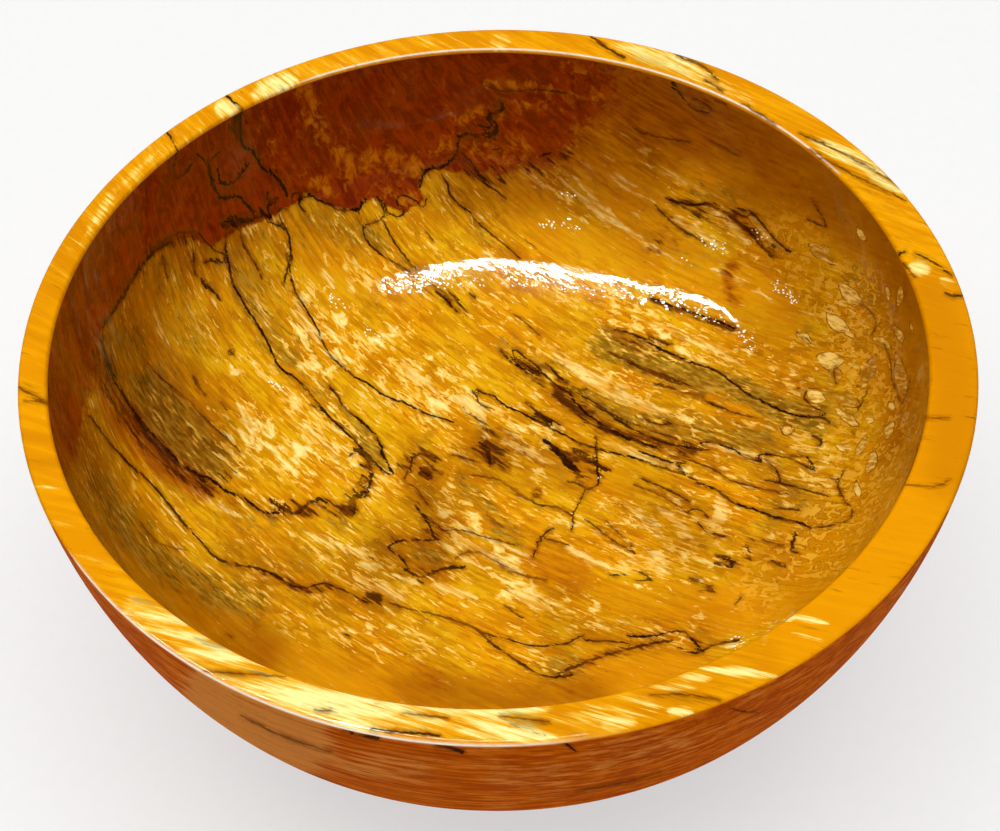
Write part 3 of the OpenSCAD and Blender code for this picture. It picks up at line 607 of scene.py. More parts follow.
SMOOTH = [
    (0.9, 30, 26, [600, 75, 700, 105, 790, 160, 850, 215]), (0.5, 20, 20, [690, 150, 760, 190, 800, 240]),
    (1.0, 26, 26, [880, 200, 915, 290, 925, 380, 912, 470, 880, 540, 830, 600]),
    (0.8, 20, 20, [640, 90, 740, 130, 830, 190]), (0.7, 22, 16, [815, 530, 780, 580, 740, 610]),
    (0.9, 14, 12, [300, 690, 420, 690, 560, 700, 680, 680]), (0.8, 18, 16, [110, 560, 170, 610, 260, 655, 330, 680]),
    (0.5, 10, 10, [560, 470, 640, 480]), (0.6, 12, 12, [540, 560, 580, 575]), (0.55, 14, 12, [620, 600, 700, 600]),
    (0.7, 16, 12, [690, 258, 780, 320]), (0.7, 14, 14, [520, 200, 560, 235, 640, 262]),
    (0.6, 20, 16, [600, 170, 660, 230]), (0.45, 12, 10, [310, 250, 345, 300]), (0.4, 16, 14, [150, 300, 140, 380]),
    (0.5, 12, 12, [600, 655, 660, 660, 700, 660]),
]
PALE = [
    (0.25, 14, 18, [560, 190, 620, 220, 640, 240]), (0.55, 14, 18, [745, 335, 800, 372]),
    (0.55, 12, 16, [590, 612, 680, 622]), (0.45, 8, 12, [440, 690, 560, 692]),
    (0.5, 16, 20, [320, 320, 350, 350, 420, 380, 450, 400]), (1.0, 12, 18, [248, 425, 275, 445, 292, 458]),
    (0.7, 8, 12, [225, 452, 240, 475]), (0.6, 5, 6, [232, 368, 240, 370]), (0.6, 14, 18, [310, 310, 340, 345]),
    (0.7, 5, 8, [405, 395, 440, 402, 462, 398, 480, 412]), (0.7, 10, 16, [440, 500, 470, 520]),
    (0.6, 6, 12, [520, 430, 560, 440]), (0.8, 5, 8, [470, 400, 480, 425]), (0.6, 14, 20, [640, 560, 700, 575]),
    (0.5, 8, 14, [690, 490, 735, 545]), (0.9, 6, 8, [622, 588, 642, 592]),
    (0.8, 6, 10, [510, 590, 545, 600, 560, 598]), (0.6, 10, 16, [460, 540, 500, 560, 520, 575]),
    (0.7, 4, 7, [640, 452, 690, 468]), (0.5, 24, 24, [330, 430, 350, 480]), (0.4, 20, 24, [380, 330, 440, 400]),
    (0.5, 14, 16, [500, 420, 540, 470]), (0.5, 14, 20, [340, 560, 400, 590]), (0.5, 8, 10, [606, 500, 628, 528]),
    (0.5, 14, 16, [620, 385, 700, 420]), (0.3, 16, 18, [820, 470, 780, 540]), (0.3, 16, 16, [800, 440, 820, 470]),
    (0.5, 14, 16, [600, 310, 700, 350]), (0.6, 7, 8, [300, 350, 320, 380]), (0.7, 4, 7, [285, 240, 330, 262]),
    (0.5, 10, 12, [700, 615, 760, 600]), (0.9, 2.5, 4, [722, 647, 742, 641, 766, 620]),
    (0.8, 2, 4, [335, 222, 350, 232, 366, 247]), (0.7, 2, 4, [372, 402, 362, 396]),
    (0.4, 16, 20, [300, 630, 420, 640]), (0.5, 6, 8, [430, 672, 450, 676]), (0.6, 3, 6, [655, 330, 690, 352]),
]
OLIVE = [
    (0.6, 5, 6, [372, 235, 395, 258, 412, 272]), (0.5, 5, 7, [475, 230, 483, 240, 500, 257]),
    (1.0, 9, 12, [605, 342, 640, 358, 700, 380]), (1.0, 8, 12, [725, 383, 770, 403, 815, 424]),
    (0.5, 7, 10, [236, 262, 250, 300, 272, 338, 305, 380, 345, 420, 378, 455]),
    (0.8, 14, 16, [150, 395, 175, 430, 205, 458]), (0.7, 9, 14, [600, 402, 660, 425, 760, 440]),
    (0.75, 10, 16, [100, 490, 130, 530, 170, 570, 220, 595, 255, 600]), (0.5, 20, 26, [130, 350, 165, 420, 205, 465]),
    (0.6, 5, 9, [462, 482, 490, 510, 505, 528]), (0.45, 7, 9, [425, 442]), (0.7, 5, 9, [420, 553, 440, 558]),
    (0.65, 7, 10, [545, 668, 575, 664]), (0.45, 8, 10, [700, 190, 760, 210]),
    (0.35, 14, 20, [240, 520, 300, 550, 370, 560]), (0.3, 12, 14, [300, 228, 330, 232, 362, 236]),
    (0.35, 16, 18, [770, 460, 820, 500]), (0.5, 4, 7, [330, 520, 360, 528]), (0.6, 5, 7, [350, 425, 380, 462]),
    (0.5, 5, 8, [690, 200, 730, 215]), (0.5, 8, 12, [825, 400, 850, 412]),
    (0.3, 18, 22, [250, 240, 270, 290, 290, 340]), (0.4, 16, 22, [170, 280, 190, 330]),
    (0.5, 6, 9, [630, 355, 655, 345]), (0.35, 12, 16, [330, 215, 360, 235]), (0.5, 8, 12, [510, 345, 560, 372]),
    (0.35, 10, 14, [740, 530, 790, 500]), (0.3, 14, 16, [560, 465, 590, 478]), (0.4, 8, 12, [650, 240, 720, 260]),
    (0.5, 4, 6, [500, 530, 520, 545]), (0.5, 7, 10, [870, 300, 850, 270]),
]
UMBER = [
    (0.8, 2, 3, [231, 352]), (0.6, 2, 3, [364, 480]), (0.6, 2, 3, [537, 493]),
    (0.6, 6, 8, [405, 462, 420, 455, 440, 470]), (0.5, 6, 9, [392, 545, 420, 542, 436, 536]),
    (0.55, 6, 9, [405, 572, 440, 572]), (0.5, 7, 10, [480, 448, 500, 455]), (0.5, 5, 8, [300, 512, 345, 510]),
    (0.45, 6, 9, [520, 372, 560, 392, 590, 410]), (0.4, 8, 12, [700, 210, 740, 222]),
    (0.55, 4, 9, [104, 350, 120, 395, 150, 438, 180, 468, 205, 486, 232, 502]), (0.7, 3, 6, [270, 512, 310, 511]),
    (0.6, 3, 6, [340, 512, 356, 510]), (0.55, 3, 6, [366, 495, 374, 478, 366, 455]), (0.9, 5, 7, [370, 597, 376, 598]),
    (0.7, 3, 6, [265, 573, 310, 591, 330, 588]),
    (0.8, 4, 7, [556, 396, 575, 410, 598, 424, 625, 436, 660, 447, 690, 452]), (0.55, 5, 10, [485, 430, 520, 444]),
    (0.5, 4, 7, [492, 450, 508, 464]), (0.35, 6, 7, [572, 457, 590, 460, 592, 474]), (0.6, 4, 6, [432, 288, 458, 308]),
    (0.5, 4, 7, [455, 465, 465, 470]), (0.9, 3, 5, [556, 448, 572, 464]), (0.5, 4, 7, [740, 215, 760, 238, 775, 252]),
    (0.55, 5, 8, [241, 112, 240, 142, 250, 152, 262, 166, 282, 184]), (0.5, 4, 7, [208, 164, 216, 190, 240, 198]),
    (0.9, 4, 5, [227, 224, 234, 220, 240, 226]), (0.8, 3, 5, [244, 222, 262, 214, 270, 218]),
    (0.6, 5, 8, [150, 252, 172, 242, 196, 236]), (0.35, 5, 6, [104, 325, 114, 312, 122, 296, 132, 280, 142, 266]),
    (0.6, 4, 8, [424, 170, 446, 162, 460, 142]), (0.6, 4, 6, [498, 102, 492, 116, 496, 130]),
    (0.45, 5, 10, [670, 222, 655, 252]), (0.5, 4, 8, [735, 262, 728, 278, 735, 298]),
    (0.4, 8, 12, [690, 100, 715, 115]), (0.6, 5, 7, [232, 114, 234, 134]), (0.5, 4, 8, [470, 128, 492, 140]),
    (0.5, 4, 7, [160, 243, 185, 235]), (0.2, 3, 6, [112, 318, 130, 290, 150, 258]), (0.5, 3, 6, [618, 336, 640, 344]),
    (0.5, 5, 8, [650, 372, 690, 388]), (0.6, 4, 6, [570, 670, 605, 655, 650, 643]), (0.6, 3, 5, [690, 641, 705, 650]),
    (0.5, 4, 8, [520, 362, 560, 385]), (0.4, 5, 9, [745, 545, 755, 560, 790, 545, 795, 560]),
    (0.45, 4, 7, [722, 560, 735, 568]), (0.4, 4, 7, [800, 455, 815, 462]), (0.35, 5, 8, [845, 425, 860, 435]),
    (0.4, 5, 8, [488, 455, 500, 470, 520, 490]), (0.8, 2.5, 5, [655, 301, 690, 314, 732, 328]),
    (1.3, 3, 4, [423, 472, 428, 475]), (1.2, 3, 4, [484, 447, 491, 460]), (0.7, 3, 4, [668, 200, 690, 206, 700, 212]),
    (0.45, 3, 5, [732, 214, 750, 230, 773, 254]), (0.6, 7, 7, [580, 462, 592, 478]),
    (0.6, 6, 8, [98, 355, 108, 385, 126, 418, 150, 446, 178, 470, 210, 490]),
    (0.5, 2.5, 5, [612, 338, 630, 346, 648, 356]), (0.6, 5, 14, [470, 172, 520, 166, 560, 156, 584, 140]),
    (0.7, 3, 5, [480, 176, 500, 182]), (0.6, 3, 5, [530, 168, 548, 176]), (0.5, 5, 7, [405, 485, 425, 505, 434, 530]),
]
# Reddish knots; the first two strokes brown the far right wall, partly darker wood and partly painted shade
REDDISH = [
    (0.5, 16, 30, [600, 88, 680, 102, 760, 140]), (0.55, 22, 36, [560, 146, 620, 132, 680, 130]),
    (0.8, 7, 9, [98, 360, 110, 400, 135, 440, 165, 470, 200, 492]), (0.55, 12, 14, [535, 560, 575, 575]),
    (0.7, 5, 7, [735, 262, 728, 280, 735, 300]), (0.45, 5, 9, [682, 226, 668, 250]),
    (0.5, 4, 7, [95, 385, 110, 410, 125, 430]), (0.5, 4, 7, [152, 455, 175, 475, 200, 490, 230, 500]),
    (0.5, 3, 5, [232, 352]), (0.5, 4, 5, [364, 480]), (0.5, 5, 5, [537, 493]), (0.6, 8, 10, [425, 670, 432, 678]),
    (0.4, 10, 12, [455, 556, 480, 556]), (0.35, 10, 14, [500, 680, 560, 692]), (0.35, 8, 12, [700, 455, 760, 475]),
    (0.3, 14, 16, [520, 400, 500, 430]), (0.4, 5, 7, [833, 336]), (0.35, 8, 12, [770, 170, 800, 200]),
    (0.4, 8, 12, [640, 560, 600, 540]), (0.3, 20, 24, [180, 250, 215, 265]), (0.3, 12, 16, [690, 495, 660, 500]),
]
# Painted shade: the walls and corners of the hollow made darker brown where they lie in shade, in part darker wood
PAINTED_SHADE = [
    (0.6, 18, 26, [120, 360, 150, 420, 190, 455]), (0.5, 12, 18, [385, 548, 430, 560, 440, 520, 420, 470]),
    (0.5, 12, 18, [480, 440, 520, 455, 560, 470]), (0.4, 16, 22, [560, 410, 640, 430, 700, 450]),
    (0.45, 14, 20, [230, 560, 300, 585, 380, 600]), (0.4, 14, 20, [770, 480, 800, 520, 770, 560]),
    (0.75, 20, 30, [84, 440, 92, 500, 130, 560, 190, 615, 250, 650]),
    (0.6, 16, 26, [112, 340, 130, 300, 165, 262, 215, 235]), (0.9, 24, 34, [560, 80, 660, 100, 750, 140, 820, 190]),
    (0.75, 20, 30, [850, 200, 900, 270, 925, 370, 915, 460]), (0.65, 24, 34, [480, 178, 560, 172, 640, 160]),
    (0.5, 30, 40, [130, 340, 170, 400, 210, 440]), (0.2, 20, 30, [230, 240, 270, 300, 300, 350]),
    (0.45, 12, 20, [400, 690, 500, 700, 600, 696]), (0.28, 20, 30, [610, 345, 690, 385, 780, 425]),
    (0.35, 16, 24, [400, 540, 440, 500, 480, 470]), (0.35, 16, 24, [740, 200, 790, 270, 830, 330]),
    (0.2, 16, 24, [240, 520, 320, 550, 400, 570]), (0.3, 14, 20, [450, 560, 540, 550, 570, 580]),
    (0.3, 14, 20, [560, 640, 640, 650, 700, 640]), (0.4, 20, 26, [560, 180, 620, 215, 650, 240]),
    (0.4, 20, 26, [745, 335, 790, 370, 810, 395]), (0.4, 24, 26, [640, 500, 690, 530]),
    (0.9, 14, 14, [885, 222, 905, 262, 915, 300]), (0.25, 16, 18, [300, 225, 360, 232]),
    (0.3, 12, 14, [430, 196, 515, 202]), (0.22, 24, 26, [690, 540, 800, 570]), (0.22, 24, 26, [760, 450, 830, 500]),
    (0.5, 10, 20, [420, 694, 500, 702, 580, 696]), (0.3, 20, 24, [560, 612, 640, 618, 700, 605]),
    (0.3, 18, 24, [280, 640, 360, 655, 430, 660]),
]
LUMPS = [
    (1.0, 26, 18, [850, 300, 868, 370, 870, 430, 858, 490, 820, 545]), (0.7, 18, 18, [790, 240, 830, 290]),
    (0.6, 18, 16, [800, 545, 760, 590]),
]

# The rim: half width, darkness, points; then soft strokes
RIM_LINES = [
    (1.3, 1.0, [163, 128, 170, 136, 174, 144, 179, 152]), (1.4, 1.0, [224, 92, 230, 99, 236, 104, 242, 110]),
    (1.6, 0.8, [590, 35, 605, 47, 625, 58]), (1.5, 0.7, [675, 54, 705, 68, 718, 80]), (1.3, 0.7, [705, 80, 722, 91]),
    (1.2, 0.6, [742, 103, 775, 124]), (1.1, 0.7, [800, 134, 830, 147, 870, 168, 900, 185]),
    (1.0, 0.6, [810, 150, 850, 173, 905, 200]), (1.2, 0.9, [897, 258, 901, 253, 905, 252]),
    (1.2, 0.8, [915, 254, 930, 260, 952, 275]), (2.0, 0.9, [945, 293, 953, 296, 962, 295]),
    (0.8, 0.7, [902, 262, 915, 277]), (1.0, 0.6, [15, 385, 30, 394, 48, 402]), (0.9, 0.5, [25, 400, 50, 403]),
    (1.1, 0.6, [315, 710, 330, 711]), (0.9, 0.5, [402, 713, 420, 715, 448, 718]),
    (1.6, 0.9, [372, 729, 395, 732, 420, 733, 440, 736]), (0.9, 0.6, [510, 725, 545, 735]),
    (0.9, 0.5, [650, 695, 690, 695, 720, 700]), (1.0, 0.5, [205, 671, 250, 674, 285, 677]),
    (0.9, 0.5, [500, 716, 550, 722]), (0.9, 0.4, [950, 418, 915, 418]), (0.9, 0.4, [950, 480, 935, 486, 905, 484]),
]
RIM_WASH = [
    (0.6, 12, 12, [136, 612, 200, 650, 260, 682, 340, 706, 430, 718, 520, 722]), (0.35, 9, 12, [540, 722, 650, 706]),
    (0.35, 10, 12, [265, 685, 340, 704, 430, 714]),
    (0.28, 8, 12, [60, 270, 110, 200, 170, 145, 260, 92, 380, 55, 500, 42]),
]
RIM_PALE = [
    (0.9, 8, 6, [213, 108, 240, 108]), (0.85, 8, 8, [250, 96, 300, 78]), (0.6, 3, 5, [75, 252, 115, 190, 165, 145]),
    (0.6, 6, 8, [488, 40, 512, 42]), (0.75, 7, 8, [605, 42, 680, 66, 760, 104]),
    (0.9, 6, 6, [805, 138, 860, 162, 908, 198]), (0.9, 1.2, 2, [30, 486, 70, 489]), (0.6, 5, 6, [28, 416, 48, 424]),
    (0.4, 3, 4, [50, 520, 80, 524]), (0.8, 2, 4, [70, 553, 115, 563]), (0.95, 4, 5, [130, 612, 200, 625]),
    (0.9, 3, 4, [150, 628, 215, 640]), (0.95, 4, 5, [165, 650, 245, 660]), (0.9, 7, 7, [285, 690, 330, 704, 420, 706]),
    (0.9, 6, 7, [330, 722, 400, 727]), (0.95, 5, 6, [420, 708, 500, 710, 560, 708]), (0.8, 6, 6, [450, 730, 560, 737]),
    (0.95, 3, 4, [695, 668, 740, 672, 790, 678]), (0.9, 2.5, 3, [675, 675, 715, 680]),
    (0.8, 3, 4, [640, 688, 700, 688]), (0.9, 4, 4, [665, 712, 697, 712]), (1.6, 3, 3, [783, 623, 795, 617, 833, 624]),
    (1.4, 2, 3, [785, 632, 832, 644]), (0.7, 3, 6, [758, 640, 772, 641]), (0.85, 5, 5, [908, 264, 932, 273]),
    (0.95, 5, 4, [938, 278, 960, 290]), (0.7, 4, 6, [560, 712, 640, 722]), (0.5, 5, 6, [600, 726, 640, 722]),
    (0.4, 5, 8, [50, 520, 85, 530]), (0.15, 4, 6, [330, 55, 420, 40]),
    (1.0, 8, 7, [270, 688, 320, 700, 380, 707, 440, 708]), (0.8, 4, 5, [300, 700, 360, 708, 430, 712]),
    (0.5, 5, 7, [180, 145, 205, 128]), (0.5, 4, 6, [460, 690, 560, 698]), (0.5, 4, 6, [640, 700, 660, 712]),
]
RIM_OLIVE = [
    (0.5, 5, 7, [185, 638, 250, 648]), (0.6, 4, 5, [205, 672, 285, 676]), (0.7, 5, 6, [495, 714, 550, 726]),
    (0.6, 4, 6, [650, 692, 720, 702]), (0.5, 4, 5, [390, 712, 445, 717]), (0.4, 6, 8, [20, 385, 50, 400]),
    (0.4, 5, 7, [625, 52, 700, 78]), (0.5, 3, 4, [910, 258, 950, 276]), (0.4, 5, 6, [130, 600, 160, 603]),
    (0.35, 8, 10, [840, 165, 900, 205]), (0.35, 4, 6, [300, 705, 340, 712]),
]
RIM_SHADE = [
    (0.75, 16, 24, [930, 300, 955, 380, 950, 470]), (0.5, 10, 16, [650, 700, 720, 672, 760, 655]),
    (0.4, 10, 14, [560, 722, 640, 712]), (0.35, 10, 16, [40, 300, 60, 250, 100, 205]), (0.6, 3, 5, [26, 462, 54, 464]),
    (0.5, 3, 5, [22, 436, 46, 438]), (0.5, 3, 5, [24, 332, 42, 340]),
]
RIM_SMOOTH = [
    (0.55, 22, 20, [28, 300, 22, 400, 42, 480, 74, 550]), (1.0, 60, 30, [990, 340, 980, 460, 930, 560, 850, 625]),
]
# Painted highlight: pale lines on the rim's two rounded edges where the lamp gleams on them
PAINTED_EDGE_HIGHLIGHT = [
    (1.0, 9, 3, [60, 545, 100, 597, 165, 653, 250, 698, 300, 713, 350, 730, 400, 736, 500, 739, 550, 737, 640, 724]),
    (1.0, 9, 3, [230, 105, 300, 75, 390, 55, 500, 48, 590, 55, 660, 70, 730, 95, 790, 130, 840, 175]),
]
# Where the lacquer is uneven and sparkles
SPARKS = [
    (0.3, 5, 6, [386, 284, 424, 284]), (0.05, 14, 8, [420, 274, 470, 266, 520, 264, 580, 276, 625, 284]),
    (0.18, 2, 4, [430, 283, 460, 279, 500, 279, 550, 290, 600, 292, 630, 296]),
    (0.4, 12, 8, [635, 286, 700, 304, 740, 326]), (0.9, 2, 5, [640, 300, 700, 318, 736, 332, 760, 348]),
]
# and where glints are painted into the colour as bright specks
PAINTED_GLINTS = [
    (1.0, 2, 3, [541, 223, 562, 224, 580, 228]), (0.8, 1, 2, [562, 194, 576, 196]), (0.9, 3, 4, [703, 239, 725, 250]),
    (0.9, 4, 4, [776, 285, 792, 299]), (0.8, 3, 4, [331, 297, 344, 309]), (0.8, 3, 3, [369, 332, 379, 339]),
    (0.7, 2, 3, [271, 381, 280, 388]), (0.9, 1.5, 2, [597, 472, 599, 478]), (0.7, 3, 4, [744, 334, 752, 352]),
    (0.55, 3, 3, [440, 284, 520, 282, 600, 292, 660, 298, 720, 320]), (0.6, 3, 4, [728, 646, 745, 638]),
    (0.7, 2, 3, [755, 232, 765, 238]), (0.5, 1, 2, [683, 258, 690, 268]), (0.8, 3, 4, [384, 286, 400, 284, 430, 279]),
]
# Long pale streaks along the grain
STREAKS = [
    (0.7, 1, 2, [522, 162, 548, 182]), (0.7, 1, 2, [530, 171, 556, 193]),
    (0.8, 1.5, 2.5, [546, 168, 575, 192, 600, 213, 622, 232]), (0.6, 1, 2, [512, 160, 540, 178]),
    (0.6, 1, 2, [600, 150, 622, 166]), (0.6, 1.5, 2, [610, 168, 640, 190]), (0.6, 1, 2, [575, 156, 600, 178]),
    (0.6, 1, 2, [585, 205, 612, 228]), (0.5, 1, 2, [560, 200, 590, 226]), (0.5, 1, 2, [470, 208, 490, 226]),
    (0.6, 1, 2, [620, 205, 650, 226]),
    (0.7, 2, 3, [558, 163, 580, 184, 600, 204, 622, 226, 645, 243, 670, 258, 695, 270]),
    (0.6, 1.5, 2.5, [520, 165, 532, 178, 545, 190]), (0.8, 2, 3, [668, 214, 690, 226, 706, 238, 722, 248]),
    (0.8, 2.5, 3, [700, 206, 725, 218, 742, 236, 750, 246]), (0.7, 2, 2.5, [742, 212, 755, 222, 770, 240, 778, 250]),
    (0.6, 2, 3, [640, 160, 665, 172, 690, 185, 720, 200]), (0.5, 2, 3, [700, 262, 740, 280, 780, 305]),
    (0.5, 2, 3, [600, 170, 640, 196, 660, 205]), (0.9, 2, 3, [438, 522, 470, 545, 500, 562, 530, 578]),
    (0.8, 1.5, 2.5, [448, 520, 480, 535, 520, 552, 548, 568]), (0.8, 1.5, 2.5, [430, 535, 455, 552, 480, 566]),
    (0.9, 5, 5, [452, 396, 468, 402, 480, 415, 485, 427]), (0.9, 2.5, 2.5, [600, 440, 630, 452, 660, 462, 682, 470]),
    (0.8, 4, 5, [542, 338, 560, 356, 585, 376, 610, 392, 640, 405, 680, 418]),
    (0.6, 3, 4, [640, 318, 680, 335, 720, 350, 750, 372]), (0.8, 5, 5, [718, 492, 722, 510, 716, 530]),
    (0.7, 3, 4, [655, 505, 680, 525, 700, 550]), (0.7, 2, 3, [320, 268, 335, 290]), (0.7, 2, 3, [345, 275, 355, 295]),
    (0.7, 3, 4, [296, 300, 305, 320, 322, 345]), (0.9, 3, 3, [234, 368, 237, 376]),
    (0.9, 3, 4, [505, 588, 530, 600, 550, 612]), (0.8, 3, 4, [428, 583, 450, 590, 480, 600]),
    (0.7, 4, 5, [350, 575, 385, 590, 410, 602]), (0.7, 3, 4, [500, 440, 530, 452, 556, 466]),
    (0.6, 3, 4, [290, 415, 320, 440, 345, 460]), (0.7, 3, 4, [396, 355, 420, 380, 446, 398]),
    (0.6, 2, 3, [560, 360, 600, 378, 640, 390]), (0.6, 2, 3, [180, 480, 215, 505, 250, 522]),
    (0.6, 3, 4, [300, 530, 340, 548, 380, 558]), (0.7, 2, 3, [690, 440, 740, 452, 790, 470]),
    (0.6, 2, 3, [250, 285, 262, 312, 275, 335]), (0.7, 3, 4, [560, 545, 590, 560, 620, 572]),
    (0.6, 3, 4, [620, 500, 650, 522, 670, 545]), (0.5, 2, 3, [150, 300, 158, 325, 172, 350]),
    (0.5, 2, 3, [185, 300, 200, 330, 214, 352]), (0.6, 2, 3, [480, 250, 500, 262]),
]
WALL_LINES = [
    (2.6, 0.9, [330, 722, 352, 732, 378, 738]), (3.4, 0.9, [435, 744, 448, 746, 462, 752]),
    (1.2, 0.9, [556, 740, 566, 744, 576, 751]), (1.6, 0.6, [730, 708, 745, 712, 756, 712]),
    (0.9, 0.5, [575, 792, 620, 783, 662, 772]), (0.9, 0.5, [240, 715, 280, 735, 330, 752]),
]
WALL_PALE = [
    (1.3, 18, 24, [215, 700, 250, 725, 300, 745]), (0.5, 6, 14, [340, 765, 420, 770]),
    (0.4, 8, 14, [600, 755, 680, 745]), (0.35, 8, 14, [500, 775, 560, 780]),
]


# ---------------------------------------------------------------- node-based materials
def srgb(r, g, b):
    """A colour given as 0 to 255, in linear light."""
    def line(c):
        c /= 255
        return c / 12.92 if c <= 0.04045 else ((c + 0.055) / 1.055) ** 2.4

    return (line(r), line(g), line(b), 1.0)


class Finish:
    """A material being put together from nodes."""

    def __init__(self, name):
        self.mat = bpy.data.materials.new(name)
        self.mat.use_nodes = True
        self.tree = self.mat.node_tree
        self.shader = next(n for n in self.tree.nodes if n.type == "BSDF_PRINCIPLED")

    def put(self, socket, value):
        if isinstance(value, bpy.types.NodeSocket):
            self.tree.links.new(value, socket)
        else:
            socket.default_value = value

    def node(self, kind, inputs=(), **settings):
        n = self.tree.nodes.new(kind)
        for k, v in settings.items():
            setattr(n, k, v)
        for k, v in dict(inputs).items():
            self.put(n.inputs[k], v)
        return n

    def sum(self, op, a, b=0.0, c=0.0):
        return self.node("ShaderNodeMath", {0: a, 1: b, 2: c}, operation=op).outputs[0]

    def times(self, a, b):
        return self.sum("MULTIPLY", a, b)

    def about(self, value, gain):
        """How far a value is above a half, times a gain."""
        return self.times(self.sum("SUBTRACT", value, 0.5), gain)

    def add(self, *values):
        total = values[0]
        for v in values[1:]:
            total = self.sum("ADD", total, v)
        return total

    def length(self, x, y):
        return self.sum("SQRT", self.add(self.times(x, x), self.times(y, y)))

    def vec(self, op, a, b=(0, 0, 0)):
        return self.node("ShaderNodeVectorMath", {0: a, 1: b}, operation=op).outputs[0]

    def noise(self, where, scale, detail=2.0, rough=0.5, twist=0.0):
        spot = self.vec("MULTIPLY", where, scale)
        return self.node(
            "ShaderNodeTexNoise",
            {"Vector": spot, "Scale": 1.0, "Detail": detail, "Roughness": rough, "Distortion": twist},
        ).outputs["Fac"]

    def step(self, value, low, high, to_low=0.0, to_high=1.0):
        return self.node(
            "ShaderNodeMapRange",
            {"Value": value, "From Min": low, "From Max": high, "To Min": to_low, "To Max": to_high},
            interpolation_type="SMOOTHSTEP",
        ).outputs["Result"]

    def mix(self, share, a, b, how="MIX"):
        n = self.node("ShaderNodeMix", data_type="RGBA", blend_type=how)
        self.put(n.inputs[0], share)
        self.put(n.inputs[6], a)
        self.put(n.inputs[7], b)
        return n.outputs[2]

    def field(self, name, output="Fac"):
        return self.node("ShaderNodeAttribute", attribute_name=name).outputs[output]

    def bump(self, height, distance, normal=None):
        n = self.node("ShaderNodeBump", {"Height": height, "Distance": distance, "Strength": 1.0})
        if normal is not None:
            self.tree.links.new(normal, n.inputs["Normal"])
        return n.outputs["Normal"]

    def glow(self, strength):
        return self.node("ShaderNodeEmission", {"Color": (1, 1, 1, 1), "Strength": strength})

    def set(self, **values):
        for k, v in values.items():
            self.put(self.shader.inputs[k.replace("_", " ")], v)

    def surface(self, shader):
        """Puts another shader node in the place of the material's own."""
        out = next(n for n in self.tree.nodes if n.type == "OUTPUT_MATERIAL")
        self.tree.links.new(shader.outputs[0], out.inputs["Surface"])


class Wood(Finish):
    """Spalted wood: the fields that are laid out on the bowl, and noise drawn out along the grain."""

    def __init__(self, name):
        super().__init__(name)
        self.grain = self.field("grain", "Vector")
        for kind in ("pale", "olive", "umber", "reddish", "smooth", "shade"):
            setattr(self, kind, self.field(kind))
        self.broad = self.along(24, 14, 2.0, 0.5)
        self.cluster = self.along(15, 6, 2.0, 0.5, 0.5)
        self.patch = self.along(8, 3.2, 3.0, 0.55, 0.6)
        self.island = self.along(5.6, 2.5, 4.0, 0.6, 0.6)
        self.streak = self.along(12, 1.1, 2.0, 0.5, 0.3)
        self.dash = self.along(3.6, 0.82, 3.0, 0.56, 0.35)
        self.blotch = self.along(5.5, 1.3, 4.0, 0.62, 0.5)
        self.fine = self.along(1.4, 0.22, 2.0, 0.6)
        self.rough = self.sum("SUBTRACT", 1.0, self.times(self.smooth, 0.85))

    def along(self, long, wide, detail, rough, twist=0.0, shift=None):
        """Noise in marks so long along the grain and so wide across it, in millimetres."""
        where = self.vec("ADD", self.grain, shift) if shift else self.grain
        return self.noise(where, (1 / long, 1 / wide, 1 / wide), detail, rough, twist)


def amber_ground(w):
    """Amber streaked along the grain, with olive stain, brown fibres and short dark ticks; and the stain alone."""
    broad = w.step(w.broad, 0.38, 0.62)
    deep = w.mix(broad, srgb(206, 140, 3), srgb(200, 124, 2))
    gold = w.mix(broad, srgb(230, 174, 12), srgb(230, 158, 5))
    ground = w.mix(w.step(w.add(w.streak, w.about(w.patch, 0.9)), 0.36, 0.62), deep, gold)
    ground = w.mix(w.times(w.smooth, 0.7), ground, srgb(216, 140, 3))
    dapple = w.along(6, 2.6, 4.0, 0.62, 0.5, shift=(7.0, 43.0, 2.0))
    # the brown mottling grows under the painted shade too
    mottle = w.add(dapple, w.times(w.shade, 0.20), w.times(w.olive, 0.14), w.times(w.smooth, -0.20))
    ground = w.mix(w.times(w.step(mottle, 0.52, 0.72), 0.6), ground, srgb(170, 106, 3))
    stain = w.step(w.add(w.olive, w.about(w.blotch, 2.6), w.about(w.dash, 0.8)), 0.30, 0.85)
    murk = w.mix(w.step(w.dash, 0.42, 0.58), srgb(108, 84, 14), srgb(190, 154, 46))
    ground = w.mix(w.times(stain, 0.72), ground, murk)
    fibre = w.along(5.5, 0.62, 2.0, 0.55, 0.2, shift=(31.0, 17.0, 5.0))
    fibre = w.add(fibre, w.about(w.patch, -0.25), w.about(w.cluster, 0.7), w.times(w.olive, -0.07),
                  w.times(w.shade, -0.03))
    ground = w.mix(w.times(w.times(w.step(fibre, 0.43, 0.31), 0.32), w.rough), ground, srgb(146, 80, 2))
    tick = w.along(1.6, 0.34, 1.0, 0.5)
    return w.mix(w.times(w.step(tick, 0.73, 0.78), w.rough), ground, srgb(70, 30, 2)), stain


